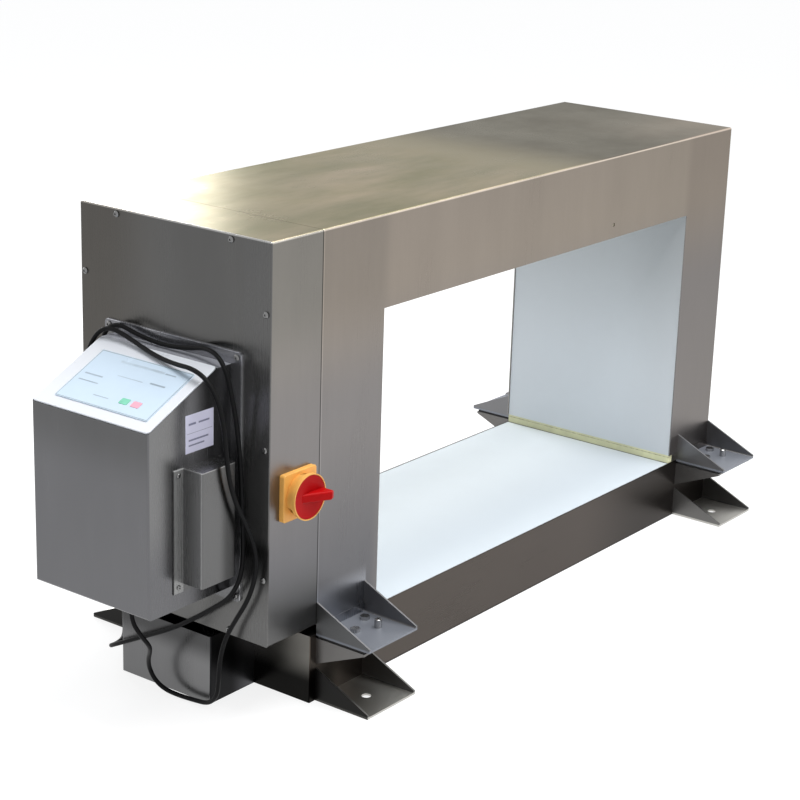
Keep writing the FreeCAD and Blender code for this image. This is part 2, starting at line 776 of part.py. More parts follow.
def cable_gland(seat, direction, wall, hole_radius):
    """Gland on the outside of a sheet: hexagon, domed cap, and lock nut behind the sheet."""
    bore = lead_radius + thread_clearance
    body = hexagon(gland_flats, gland_collar, seat, direction)
    cap_start = seat + direction * gland_collar
    cap_end = cap_start + direction * gland_cap
    cap = rod(gland_cap_radius, cap_start, cap_end)
    rim = [edge for edge in cap.Edges if abs((edge.BoundBox.Center - cap_end).Length) < 1e-3]
    cap = cap.makeFillet(gland_cap_radius / 3, rim)
    inner = seat - direction * (wall + gland_nut)
    thread = rod(min(hole_radius, gland_thread_radius) - thread_clearance, seat, inner)
    nut = hexagon(gland_flats, gland_nut, seat - direction * (wall + gland_nut), direction)
    drill = rod(bore, inner - direction, cap_end + direction)
    return body.fuse([cap, thread, nut]).cut(drill)


def grommet(seat, direction, wall, hole_radius):
    """Rubber ring in a sheet's hole; seat is on the outside of the sheet."""
    inner = seat - direction * wall
    lip = grommet_lip
    ring = rod(hole_radius + lip, seat, seat + direction * lip)
    ring = ring.fuse([rod(hole_radius + lip, inner, inner - direction * lip),
                      rod(hole_radius - thread_clearance, seat, inner)])
    return ring.cut(rod(hole_radius - lip, inner - direction * 2 * lip, seat + direction * 2 * lip))


def make_grommets():
    """Grommets of the lead between base and electronics, and of the housing's cable ways."""
    lower = grommet(V(base_left - skin, cable_box_offset, link_hole_z), V(-1, 0, 0), 2 * skin,
                    link_hole_radius)
    upper = grommet(V(isolator_place, cable_box_offset, head_bottom + skin), V(0, 0, 1), skin,
                    link_hole_radius)
    save("grommets", lower, upper)


# ---- Brackets ------------------------------------------------------------------------------------

def bracket_tray(height, reach, tip, x_middle):
    """Plate folded up at both sides into gussets, its back edge on the front skin at y = 0."""
    x0, x1 = x_middle - bracket_width / 2, x_middle + bracket_width / 2
    body = outline_yz([(0, 0), (-reach, 0), (-reach, tip), (0, height)], x0, x1)
    hollow = block(x0 + bracket_sheet, x1 - bracket_sheet, -reach - 1, 1, bracket_sheet, height + 1)
    bends = edges_on(hollow, at("z", bracket_sheet), at("x", x0 + bracket_sheet))
    bends += edges_on(hollow, at("z", bracket_sheet), at("x", x1 - bracket_sheet))
    return body.cut(hollow.makeFillet(bracket_bend, bends))


def clamp_places(x_middle):
    """Positions (x, y) of a bracket's two clamp screws, the skin at y = 0."""
    return [(x_middle + clamp_near_offset, -clamp_near), (x_middle + clamp_far_offset, -clamp_far)]


def in_place(shape, level, rear):
    """Moves a front-skin piece to its level, and turns it to the rear skin if asked."""
    shape = shape.copy()
    shape.translate(V(0, -half_depth, level))
    if rear:
        shape = shape.mirror(V(0, 0, 0), V(0, 1, 0))
    return shape


def make_brackets():
    """Three brackets, a pad, a jack stud and two clamp screws at each corner."""
    pads, studs, screws = [], [], []
    for side, side_name in ((-1, "left"), (1, "right")):
        middle = side * (head_half - bracket_width / 2)
        stud_x = middle + jack_stud_offset
        clamp_holes = [rod(clamp_screw_radius + screw_clearance, V(x, y, -20), V(x, y, 20))
                       for x, y in clamp_places(middle)]
        upper = bracket_tray(bracket_height, bracket_reach, bracket_tip, middle)
        upper = upper.cut([rod(jack_stud_radius + thread_clearance, V(stud_x, -jack_stud_reach, -1),
                               V(stud_x, -jack_stud_reach, bracket_sheet + 1))] + clamp_holes)
        under = bracket_tray(middle_bracket_height, middle_reach, middle_bracket_tip, middle)
        under = under.mirror(V(0, 0, 0), V(0, 0, 1))
        nuts = [hexagon(clamp_head_flats, clamp_nut_height,
                        V(x, y, -bracket_sheet - clamp_nut_height), V(0, 0, 1))
                for x, y in clamp_places(middle)]
        tapped = [rod(clamp_screw_radius + thread_clearance, V(x, y, -20), V(x, y, 1))
                  for x, y in clamp_places(middle)]
        under = under.fuse(nuts).cut(tapped)
        foot = bracket_tray(bracket_height, bracket_reach, bracket_tip, middle)
        foot = foot.cut(rod(anchor_hole_radius, V(middle, -anchor_reach, -1),
                            V(middle, -anchor_reach, bracket_sheet + 1)))
        pad = block(middle - bracket_width / 2 + pad_margin,
                    middle + bracket_width / 2 - pad_margin,
                    -middle_reach + pad_margin, -pad_margin, 0, pad_thickness)
        pad = pad.cut([rod(jack_stud_radius + screw_clearance, V(stud_x, -jack_stud_reach, -1),
                           V(stud_x, -jack_stud_reach, pad_thickness + 1))] + clamp_holes)
        stud_top = pad_thickness + bracket_sheet + jack_stud_height
        stud = rod(jack_stud_radius, V(stud_x, -jack_stud_reach, 0),
                   V(stud_x, -jack_stud_reach, stud_top))
        stud = stud.makeChamfer(edge_break, [stud.Edges[0]])
        stud = stud.cut(block(stud_x - jack_stud_slot / 2, stud_x + jack_stud_slot / 2,
                              -jack_stud_reach - 10, -jack_stud_reach + 10,
                              stud_top - jack_stud_slot, stud_top + 1))
        clamps = []
        for x, y in clamp_places(middle):
            seat = V(x, y, pad_thickness + bracket_sheet)
            head = hexagon(clamp_head_flats, clamp_head_height, seat, V(0, 0, 1))
            shank = rod(clamp_screw_radius, seat, V(x, y, -bracket_sheet - clamp_nut_height))
            clamps.append(head.fuse(shank))
        for rear, end_name in ((False, "front"), (True, "rear")):
            corner = f"{end_name}_{side_name}"
            save(f"upper_bracket_{corner}", in_place(upper, upper_floor, rear))
            save(f"middle_bracket_{corner}", in_place(under, middle_top, rear))
            save(f"foot_bracket_{corner}", in_place(foot, 0, rear))
            pads.append(in_place(pad, middle_top, rear))
            studs.append(in_place(stud, middle_top, rear))
            screws += [in_place(clamp, middle_top, rear) for clamp in clamps]
    save("bracket_pads", *pads)
    save("jack_studs", *studs)
    save("clamp_screws", *screws)


# ---- Operator box --------------------------------------------------------------------------------

def on_slope(shape):
    """Moves a piece drawn flat (X up the slope, Z outwards) onto the box's slope."""
    shape = shape.copy()
    turn = FreeCAD.Rotation(V(0, 1, 0), -math.degrees(slope_angle))
    shape.Placement = FreeCAD.Placement(V(box_front, 0, box_front_top), turn)
    return shape


def make_operator_box():
    """Folded box with a sloping face, open at the back, on its mounting plate."""
    plate = rounded_plate(box_back, housing_left, -plate_width / 2, plate_width / 2, plate_bottom,
                          plate_bottom + plate_height, plate_corner, V(1, 0, 0))
    holes = [rod(screw_radius + screw_clearance, V(box_back - 1, y, z), V(housing_left + 1, y, z))
             for y, z in plate_screw_places()]
    holes.append(rod(cable_hole_radius, V(box_back - 1, 0, box_middle_z),
                     V(housing_left + 1, 0, box_middle_z)))
    save("control_plate", plate.cut(holes))

    profile = [(box_back, box_bottom), (box_front, box_bottom), (box_front, box_front_top),
               (box_front + slope_run, box_rear_top), (box_back, box_rear_top)]
    body = outline_xz(profile, -box_side, box_side)
    folds = []
    for side in (-box_side, box_side):
        folds += edges_on(body, at("x", box_front), at("y", side))
    folds += edges_on(body, at("x", box_front), at("z", box_bottom))
    body = body.makeFillet(box_corner, folds)
    t = box_sheet
    lean = t / math.cos(slope_angle)
    rise = math.tan(slope_angle)
    hollow = outline_xz([(box_back + 1, box_bottom + t), (box_front + t, box_bottom + t),
                         (box_front + t, box_front_top + t * rise - lean),
                         (box_front + (slope_rise - t + lean) / rise, box_rear_top - t),
                         (box_back + 1, box_rear_top - t)], -box_side + t, box_side - t)
    gland_hole = rod(gland_thread_radius, V(box_front + gland_x, gland_y, box_bottom - 1),
                     V(box_front + gland_x, gland_y, box_bottom + t + 1))
    s0 = film_middle - keypad_width / 2 - 2
    window = on_slope(block(s0, s0 + keypad_width + 4, film_shift - keypad_length / 2 - 2,
                            film_shift + keypad_length / 2 + 2, -10, 10))
    near = cover_window_margin
    cover_window = block(box_front + cover_left + near,
                         box_front + cover_left + cover_length - near,
                         -box_side - 1, -box_side + t + 1, box_bottom + cover_bottom + near,
                         box_bottom + cover_bottom + cover_height - near)
    cover_holes = [rod(screw_radius * cover_screw_scale + thread_clearance,
                       V(x, -box_side - 1, z), V(x, -box_side + t + 1, z))
                   for x, z in cover_screw_places()]
    save("control_box", body.cut([hollow, gland_hole, window, cover_window] + cover_holes))


def make_operator_panel():
    """White plate on the slope with film, two keys, key board and display."""
    panel = rounded_plate(operator_margin, slope_length - operator_margin,
                          -box_side + operator_margin, box_side - operator_margin,
                          0, operator_sheet, operator_corner, V(0, 0, 1))
    rim = [edge for edge in panel.Edges
           if abs(edge.BoundBox.ZMin - operator_sheet) < 1e-4 and edge.BoundBox.ZLength < 1e-4]
    panel = panel.makeFillet(operator_sheet / 4, rim)
    stud_s = keypad_width / 2 - keypad_post_inset
    stud_y = keypad_length / 2 - keypad_post_inset
    places = [(film_middle + a * stud_s, film_shift + b * stud_y) for a in (-1, 1) for b in (-1, 1)]
    studs = [rod(standoff_radius, V(s, y, 0), V(s, y, -keypad_drop)) for s, y in places]
    stem_hole = key_stem_radius + key_play
    stem_holes = [rod(stem_hole, V(key_offset, y, -5), V(key_offset, y, 5))
                  for y in key_places.values()]
    display_y0 = film_shift - display_length / 2
    display_y1 = film_shift + display_length / 2
    display_window = block(display_offset, display_offset + display_width, display_y0, display_y1,
                           -1, operator_sheet + 1)
    save("operator_panel", on_slope(panel.fuse(studs).cut(stem_holes + [display_window])))

    film = rounded_plate(film_offset, film_offset + film_width, film_shift - film_length / 2,
                         film_shift + film_length / 2, operator_sheet,
                         operator_sheet + film_thickness, film_corner, V(0, 0, 1))
    key_holes = [rounded_plate(key_offset - key_width / 2 - key_play,
                               key_offset + key_width / 2 + key_play,
                               y - key_length / 2 - key_play, y + key_length / 2 + key_play,
                               operator_sheet - 1, operator_sheet + film_thickness + 1,
                               film_corner + key_play, V(0, 0, 1)) for y in key_places.values()]
    save("display_film", on_slope(film.cut(key_holes)))

    low = operator_sheet + key_rise
    dome_top = -keypad_drop + dome_height
    for name, y in key_places.items():
        cap = rounded_plate(key_offset - key_width / 2, key_offset + key_width / 2,
                            y - key_length / 2, y + key_length / 2, low, low + key_height,
                            film_corner, V(0, 0, 1))
        rim = [edge for edge in cap.Edges
               if abs(edge.BoundBox.ZMin - low - key_height) < 1e-4
               and edge.BoundBox.ZLength < 1e-4]
        cap = cap.makeFillet(key_height / 3, rim)
        stem = rod(key_stem_radius, V(key_offset, y, low),
                   V(key_offset, y, dome_top + key_travel + 0.1))
        save(name, on_slope(cap.fuse(stem)))

    s0 = film_middle - keypad_width / 2
    board = block(s0, s0 + keypad_width, film_shift - keypad_length / 2,
                  film_shift + keypad_length / 2, -keypad_drop - board_thickness, -keypad_drop)
    domes = [rod(dome_radius, V(key_offset, y, -keypad_drop), V(key_offset, y, dome_top))
             for y in key_places.values()]
    save("keypad_board", on_slope(board.fuse(domes)))
    display = block(display_offset + inner_gap, display_offset + display_width - inner_gap,
                    display_y0 + inner_gap, display_y1 - inner_gap, -keypad_drop,
                    operator_sheet - inner_gap)
    save("display_module", on_slope(display))


def make_control_board():
    """Main board on posts on the mounting plate, inside the operator box."""
    half = box_side - board_gap
    z0 = box_bottom + board_gap_below
    z1 = box_front_top - board_gap_above
    back = box_back - control_post
    face = back - board_thickness
    post_y = half - control_post_inset
    posts = [rod(standoff_radius, V(box_back, y, z), V(back, y, z)) for y in (-post_y, post_y)
             for z in (z0 + control_post_inset, z1 - control_post_inset)]
    board = block(face, back, -half, half, z0, z1)
    way = rod(cable_hole_radius, V(face - 1, 0, box_middle_z), V(back + 1, 0, box_middle_z))
    y1 = half - transformer_inset
    top = z1 - transformer_drop
    parts = [block(face - transformer_depth, face, y1 - transformer_width, y1,
                   top - transformer_length, top)]
    for i in range(3):
        y = -half + (i + 1) * capacitor_pitch
        z = z1 - capacitor_drop
        parts.append(rod(capacitor_radius, V(face, y, z), V(face - capacitor_depth, y, z)))
        y = -half + transformer_inset + i * relay_pitch
        z = z0 + relay_rise
        parts.append(block(face - relay_depth, face, y, y + relay_width, z, z + relay_length))
    save("control_board", board.cut(way).fuse(posts + parts))


def make_side_cover():
    """Small folded cover on the operator box's right side."""
    x0 = box_front + cover_left
    x1 = x0 + cover_length
    z0 = box_bottom + cover_bottom
    z1 = z0 + cover_height
    flange = block(x0 - cover_margin_left, x1 + cover_margin_right, -box_side - cover_sheet,
                   -box_side, z0 - cover_margin_bottom, z1)
    front = -box_side - cover_depth
    hood = block(x0, x1, front, -box_side, z0, z1)
    bends = edges_on(hood, at("x", x0), at("y", front)) + edges_on(hood, at("x", x1),
                                                                   at("y", front))
    hood = hood.makeFillet(fold_radius, bends)
    t = cover_sheet
    hollow = block(x0 + t, x1 - t, front + t, -box_side + 1, z0 + t, z1 - t)
    holes = [rod(screw_radius * cover_screw_scale + screw_clearance, V(x, -box_side - 5, z),
                 V(x, -box_side + 1, z)) for x, z in cover_screw_places()]
    save("side_cover", flange.fuse(hood).cut([hollow] + holes))


# ---- Isolator ------------------------------------------------------------------------------------

def turned(profile):
    """Solid turned about the isolator's axis from (radius, y) corners."""
    corners = [V(radius, y, 0) for radius, y in profile]
    solid = Part.Face(Part.makePolygon(corners + corners[:1]))
    solid = solid.revolve(V(0, 0, 0), V(0, 1, 0), 360)
    solid.translate(V(isolator_place, 0, isolator_z))
    return solid


def make_isolator():
    """Yellow plate and lockable collar, red handle on its shaft, and the switch inside."""
    x, z = isolator_place, isolator_z
    half = isolator_size / 2
    face = -half_depth
    plate_face = face - isolator_plate
    collar_face = plate_face - collar_height
    disc_seat = collar_face + rim_height
    knob_back = disc_seat - knob_play
    hub_back = knob_back + hub_height
    plate = rounded_plate(x - half, x + half, plate_face, face, z - half, z + half,
                          isolator_corner, V(0, 1, 0))
    rim = [edge for edge in plate.Edges
           if abs(edge.BoundBox.YMin - plate_face) < 1e-4 and edge.BoundBox.YLength < 1e-4]
    plate = plate.makeFillet(edge_break, rim)
    collar = turned([(collar_well, plate_face + 1), (collar_radius, plate_face + 1),
                     (collar_radius, plate_face), (rim_radius, disc_seat),
                     (rim_radius, collar_face), (rim_radius - rim_wall, collar_face),
                     (rim_radius - rim_wall, disc_seat), (collar_well, disc_seat)])
    boss = rod(hub_radius, V(x, plate_face + 1, z), V(x, hub_back + knob_play, z))
    bore = rod(shaft_radius + shaft_clearance, V(x, face + 1, z), V(x, collar_face, z))
    slots = []
    slot_y = (plate_face + disc_seat) / 2
    for i in range(lock_slots):
        slot = block(-lock_slot_width / 2, lock_slot_width / 2, slot_y - lock_slot_length / 2,
                     slot_y + lock_slot_length / 2, collar_well - 1, rim_radius + 1)
        slot.rotate(V(0, 0, 0), V(0, 1, 0), 360.0 / lock_slots * i)
        slot.translate(V(x, 0, z))
        slots.append(slot)
    save("isolator_plate", plate.fuse([collar, boss]).cut(slots + [bore]))

    knob_radius = rim_radius - rim_wall - knob_play
    knob_edge = collar_face + knob_recess
    knob_middle = knob_edge + knob_dish
    disc = turned([(0, hub_back), (hub_radius, hub_back), (hub_radius, knob_back),
                   (knob_radius, knob_back), (knob_radius, knob_edge), (0, knob_middle)])
    foot = (knob_back + knob_middle) / 2
    top = knob_edge - grip_height
    side = z - grip_width / 2
    corners = [V(x - grip_start, foot, side), V(x + grip_shoulder, top, side),
               V(x + grip_end, top + grip_nose, side), V(x + grip_end, foot, side)]
    grip = Part.Face(Part.makePolygon(corners + corners[:1])).extrude(V(0, 0, grip_width))
    rims = [edge for edge in grip.Edges if edge.BoundBox.ZLength < 1e-4
            and edge.BoundBox.YMin < foot - 1 and edge.BoundBox.YLength > 1e-4]
    grip = grip.makeFillet(grip_edge, rims)
    shaft_end = knob_middle - shaft_grip
    shaft_in_knob = rod(shaft_radius + shaft_clearance, V(x, hub_back + 1, z), V(x, shaft_end, z))
    save("isolator_knob", disc.fuse(grip).cut(shaft_in_knob))

    switch_face = face + skin
    shaft_back = switch_face + shaft_reach
    save("isolator_shaft", rod(shaft_radius, V(x, shaft_end, z), V(x, shaft_back, z)))

    s = isolator_body_size / 2
    body = rounded_plate(x - s, x + s, switch_face, switch_face + isolator_body_depth, z - s,
                         z + s, isolator_corner, V(0, 1, 0))
    contacts = []
    for side in (-1, 1):
        x0 = x + side * (s - contact_inset) - contact_width / 2
        for i in (-1, 0, 1):
            z0 = z + i * contact_pitch - contact_width / 2
            contacts.append(block(x0, x0 + contact_width, switch_face + contact_start,
                                  switch_face + isolator_body_depth - contact_inset, z0,
                                  z0 + contact_width))
    well = rod(shaft_radius + shaft_clearance, V(x, face, z), V(x, shaft_back + 1, z))
    save("isolator_body", body.cut(contacts + [well]))


# ---- Mains lead ----------------------------------------------------------------------------------

def make_mains_entry():
    """Gland under the operator box, and the moulded strain relief on the lead."""
    seat = V(box_front + gland_x, gland_y, box_bottom)
    down = V(0, 0, -1)
    save("mains_gland", cable_gland(seat, down, box_sheet, gland_thread_radius))
    top = seat + down * (gland_collar + gland_cap)
    cone = Part.makeCone(relief_radius, lead_radius + 1, relief_length, top, down)
    pitch = relief_length / (relief_rings + 1)
    grooves = []
    for i in range(1, relief_rings + 1):
        level = top + down * (i * pitch)
        ring = rod(relief_radius + 1, level, level + down * (pitch / 3))
        grooves.append(ring.cut(rod(lead_radius + 0.5, level, level + down * (pitch / 3))))
    stub = rod(lead_radius, top, seat - down * lead_tail_inside)
    save("mains_lead_relief", cone.cut(grooves).fuse(stub))


def lead_tube(points, radius):
    """Tube along straight runs joined by tangent arcs; prints its length and arc radii."""
    edges, arc_radii, start = [], [], points[0]
    for before, corner, after in zip(points, points[1:], points[2:]):
        to_corner, onward = corner - before, after - corner
        turn = to_corner.getAngle(onward)
        reach = 0.45 * min(to_corner.Length, onward.Length)
        arc_radii.append(reach / math.tan(turn / 2))
        enter = corner - to_corner.normalize() * reach
        leave = corner + onward.normalize() * reach
        bisector = (onward - to_corner).normalize()
        middle = corner + bisector * (arc_radii[-1] / math.cos(turn / 2) - arc_radii[-1])
        edges += [Part.LineSegment(start, enter).toShape(),
                  Part.Arc(enter, middle, leave).toShape()]
        start = leave
    edges.append(Part.LineSegment(start, points[-1]).toShape())
    path = Part.Wire(edges)
    profile = Part.Wire(Part.makeCircle(radius, points[0], points[1] - points[0]))
    tube = path.makePipeShell([profile], True, False)
    print(f"lead: length {path.Length:.0f}, volume ratio "
          f"{tube.Volume / (math.pi * radius ** 2 * path.Length):.4f}, arc radii "
          + " ".join(f"{value:.0f}" for value in arc_radii))
    return tube


def make_mains_lead():
    """The lead, from its strain relief to the coil, and from the coil to the plug."""
    exit_z = box_bottom - gland_collar - gland_cap - relief_length
    gland = V(box_front + gland_x, gland_y, exit_z)
    pitch = 2 * lead_radius
    outer_turn = coil_mean_radius + (coil_columns - 1) * lead_radius
    turn_start = V(coil_x - turn_lead, coil_y - outer_turn, tie_thickness + lead_radius)
    # down from the gland to the floor, along the cable box's foot, and up beside it
    route = [gland, gland - V(0, 0, 18), V(-738, -12, 113), V(-721, -12, 92), V(-707, 2, 74),
             V(-698, 14, 56), V(-690, 20, 38), V(-684, 15, 19), V(-679, 0, 7), V(-675, -22, 3.4),
             V(-672, -52, 3.6), V(-674, -80, 8), V(-677, -98, 26), V(-679, -103, 52),
             V(-678, -104, 84), V(-676, -112, 118), V(-674, -129, 150), V(-672, -147, 180),
             V(-670, -158, 210), V(-669, -163, 240), V(-672, -160, 270), V(-683, -156, 299),
             V(-700, -153, 332), V(-714, -152, 371), V(-719, -151, 413), V(-719, -146, 452),
             V(-722, -137, 485), V(-725, -120, 508), V(-722, -92, 515), V(-714, -57, 511),
             # over the slope to the far side of the operator box
             V(-706, -16, 511), V(-697, 24, 516), V(-692, 57, 523), V(-691, 88, 529),
             V(-694, 108, 521), V(-701, 119, 499), V(-711, 120, 472),
             # a loop that hangs down the far side
             V(-725, 119, 443), V(-738, 118, 413), V(-743, 118, 384), V(-743, 118, 356),
             V(-733, 118, 333), V(-714, 118, 322), V(-690, 119, 326), V(-675, 120, 347),
             V(-669, 121, 376), V(-669, 121, 408), V(-670, 121, 439), V(-672, 121, 464),
             V(-674, 122, 488), V(-675, 119, 508), V(-674, 107, 524), V(-672, 87, 529),
             # back over the flat top, and down the right side
             V(-671, 57, 521), V(-672, 20, 517), V(-674, -12, 518), V(-673, -43, 522),
             V(-677, -75, 530), V(-685, -104, 528), V(-689, -124, 510), V(-687, -131, 480),
             V(-680, -133, 444), V(-674, -134, 402), V(-672, -136, 353), V(-672, -138, 304),
             V(-672, -141, 255), V(-673, -138, 215), V(-673, -118, 180), V(-673, -87, 156),
             V(-674, -50, 129), V(-674, -13, 105), V(-674, 24, 85), V(-675, 62, 66),
             V(-676, 97, 48),
             # behind the cable box, over the foot bracket and down to the coil
             V(-666, 124, 33), V(-638, 139, 22), V(-608, 153, 17), V(-585, 173, 22),
             V(-567, 195, 39), V(-544, 211, 46), V(-503, 215, 42), V(-462, 214, 44),
             V(-440, 208, 42), V(-423, 197, 29), V(-409, 187, 13), turn_start]
    save("mains_lead", lead_tube(route, lead_radius))

    inner = coil_mean_radius - coil_columns * lead_radius
    outer = coil_mean_radius + coil_columns * lead_radius
    top = tie_thickness + coil_layers * pitch
    centre = V(coil_x, coil_y, 0)
    ring = rod(outer, centre + V(0, 0, tie_thickness), centre + V(0, 0, top))
    ring = ring.cut(rod(inner, centre, centre + V(0, 0, top + 1)))
    rims = [edge for edge in ring.Edges if edge.BoundBox.ZLength < 1e-4]
    save("mains_lead_coil", ring.makeChamfer(lead_radius / 2, rims))

    tie_out = outer + tie_thickness
    tie_in = inner - tie_thickness
    band = block(coil_x + tie_in, coil_x + tie_out, coil_y - tie_width / 2, coil_y + tie_width / 2,
                 0, top + tie_thickness)
    band = band.makeFillet(tie_thickness, edges_on(band, lambda point: True))
    save("lead_tie", band.cut(ring))

    last_turn = V(coil_x + turn_lead, coil_y - outer_turn, top - lead_radius)
    plug = V(plug_x, plug_y, plug_radius)
    tail = [last_turn, V(-358, 186, 12), V(-345, 194, 15), plug - V(13, 0, 0), plug]
    save("mains_lead_tail", lead_tube(tail, lead_radius))
    outline = [V(0, 0, 0), V(0, 0, plug_tail_radius), V(18, 0, plug_tail_radius + 2),
               V(27, 0, 12), V(38, 0, 17), V(44, 0, plug_radius), V(plug_length, 0, plug_radius),
               V(plug_length, 0, 0)]
    body = Part.Face(Part.makePolygon(outline + outline[:1]))
    body = body.revolve(V(0, 0, 0), V(1, 0, 0), 360)
    pins = []
    for side in (-1, 1):
        pin = rod(pin_radius, V(plug_length, side * pin_pitch / 2, 0),
                  V(plug_length + pin_length, side * pin_pitch / 2, 0))
        tip = [edge for edge in pin.Edges if edge.BoundBox.XMin > plug_length + pin_length - 0.01]
        pins.append(pin.makeFillet(pin_radius / 2, tip))
    grip = [block(6 + plug_length / 2, plug_length - 6, -plug_radius, -plug_radius + 2, -20, 20),
            block(6 + plug_length / 2, plug_length - 6, plug_radius - 2, plug_radius, -20, 20)]
    body = body.cut(grip).fuse(pins)
    body.translate(plug)
    save("mains_plug", body)


save("head_shell", make_head_shell())
make_liners()
make_head_inside()
make_base()
make_split_seals()
make_housing()
make_case_screws()
make_frame_bolts()
make_electronics()
make_cable_box()
make_grommets()
make_brackets()
make_operator_box()
make_operator_panel()
make_control_board()
make_side_cover()
make_isolator()
make_mains_entry()
make_mains_lead()
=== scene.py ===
"""Looks of a conveyor metal detector: stainless tunnel head, operator box, isolator and mains lead.

Metres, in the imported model's frame: X runs across the belt, the front faces -Y, Z is up.
"""
import math

import bmesh
import bpy
from mathutils import Euler, Matrix, Vector


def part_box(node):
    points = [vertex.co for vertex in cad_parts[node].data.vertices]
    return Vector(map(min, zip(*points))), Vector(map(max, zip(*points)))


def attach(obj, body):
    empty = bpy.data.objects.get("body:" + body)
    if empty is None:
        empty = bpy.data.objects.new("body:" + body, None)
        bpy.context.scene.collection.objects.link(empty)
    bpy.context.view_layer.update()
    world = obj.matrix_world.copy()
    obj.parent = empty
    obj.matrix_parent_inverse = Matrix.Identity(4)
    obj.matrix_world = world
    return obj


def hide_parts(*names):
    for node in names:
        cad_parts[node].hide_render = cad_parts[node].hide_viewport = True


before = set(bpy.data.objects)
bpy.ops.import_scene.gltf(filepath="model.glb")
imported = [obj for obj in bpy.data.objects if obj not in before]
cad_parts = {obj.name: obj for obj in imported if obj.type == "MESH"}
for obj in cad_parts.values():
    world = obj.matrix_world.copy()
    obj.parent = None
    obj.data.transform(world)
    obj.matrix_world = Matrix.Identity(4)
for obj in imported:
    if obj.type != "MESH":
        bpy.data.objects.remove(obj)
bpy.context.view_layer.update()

# ---- Camera, light and floor -------------------------------------------------------------------
# The camera looks down a little on the front left corner, where the operator stands. Soft light
# falls from above, from the front and through the tunnel from behind, on a plain pale floor.

CAMERA_PLACE = (-2.6275, -1.8803, 1.3123)
CAMERA_TURN = [math.radians(angle) for angle in (72.14, -2.09, -53.349)]

lens = bpy.data.cameras.new("view_camera")
lens.sensor_width = 36.0
lens.lens = 93.03
lens.shift_x = -0.05
lens.shift_y = 0.00625
lens.clip_end = 50.0
camera = bpy.data.objects.new("view_camera", lens)
camera.matrix_world = Matrix.Translation(CAMERA_PLACE) @ Euler(CAMERA_TURN).to_matrix().to_4x4()
bpy.context.collection.objects.link(camera)
bpy.context.scene.camera = camera
bpy.context.scene.view_settings.view_transform = "Standard"

BACKGROUND_RAYS = ("Is Camera Ray", "Is Glossy Ray", "Is Transmission Ray")


def seen_directly(nodes, links):
    """1 for the camera and for what metal and glass show, 0 for the light that falls on things."""
    path = nodes.new("ShaderNodeLightPath")
    total = None
    for ray in BACKGROUND_RAYS:
        if total is None:
            total = path.outputs[ray]
            continue
        add = nodes.new("ShaderNodeMath")
        add.operation = "MAXIMUM"
        links.new(total, add.inputs[0])
        links.new(path.outputs[ray], add.inputs[1])
        total = add.outputs[0]
    return total


ROOM_COLOUR = (0.93, 0.96, 1.0, 1)
ROOM_STRENGTH = 0.56
BACKGROUND_WHITE = (1, 1, 1, 1)
BACKGROUND_STRENGTH = 1.0

world = bpy.data.worlds.new("pale_room")
world.use_nodes = True
bpy.context.scene.world = world
room_nodes, room_links = world.node_tree.nodes, world.node_tree.links
room_light = room_nodes["Background"]
room_light.inputs["Color"].default_value = ROOM_COLOUR
room_light.inputs["Strength"].default_value = ROOM_STRENGTH
room_seen = room_nodes.new("ShaderNodeBackground")
room_seen.inputs["Color"].default_value = BACKGROUND_WHITE
room_seen.inputs["Strength"].default_value = BACKGROUND_STRENGTH
room_mix = room_nodes.new("ShaderNodeMixShader")
room_links.new(seen_directly(room_nodes, room_links), room_mix.inputs["Fac"])
room_links.new(room_light.outputs[0], room_mix.inputs[1])
room_links.new(room_seen.outputs[0], room_mix.inputs[2])
room_links.new(room_mix.outputs[0], room_nodes["World Output"].inputs["Surface"])


def finish_mesh(name, bm, *materials):
    """Turns a bmesh into an object at the origin with the given materials."""
    mesh = bpy.data.meshes.new(name)
    bm.to_mesh(mesh)
    bm.free()
    for material in materials:
        mesh.materials.append(material)
    piece = bpy.data.objects.new(name, mesh)
    bpy.context.collection.objects.link(piece)
    return piece


FLOOR_COLOUR = (0.8, 0.8, 0.8, 1)
FLOOR_ROUGHNESS = 0.9
FLOOR_GLOW = 1.22
FLOOR_GLOW_SHARE = 0.68     # the rest shows the shadow of the machine
FLOOR_HALF = 12.0
FLOOR_DROP = 0.0005         # under the base, so that the two never share a plane

floor_material = bpy.data.materials.new("pale_floor")
floor_material.use_nodes = True
floor_nodes, floor_links = floor_material.node_tree.nodes, floor_material.node_tree.links
floor_shader = floor_nodes["Principled BSDF"]
floor_shader.inputs["Base Color"].default_value = FLOOR_COLOUR
floor_shader.inputs["Roughness"].default_value = FLOOR_ROUGHNESS
floor_glow = floor_nodes.new("ShaderNodeEmission")
floor_glow.inputs["Strength"].default_value = FLOOR_GLOW
floor_share = floor_nodes.new("ShaderNodeMath")
floor_share.operation = "MULTIPLY"
floor_share.inputs[1].default_value = FLOOR_GLOW_SHARE
floor_links.new(seen_directly(floor_nodes, floor_links), floor_share.inputs[0])
floor_mix = floor_nodes.new("ShaderNodeMixShader")
floor_links.new(floor_share.outputs[0], floor_mix.inputs["Fac"])
floor_links.new(floor_shader.outputs[0], floor_mix.inputs[1])
floor_links.new(floor_glow.outputs[0], floor_mix.inputs[2])
floor_links.new(floor_mix.outputs[0], floor_nodes["Material Output"].inputs["Surface"])

bm = bmesh.new()
bmesh.ops.create_grid(bm, x_segments=1, y_segments=1, size=FLOOR_HALF,
                      matrix=Matrix.Translation((0, 0, -FLOOR_DROP)))
floor = finish_mesh("floor", bm, floor_material)


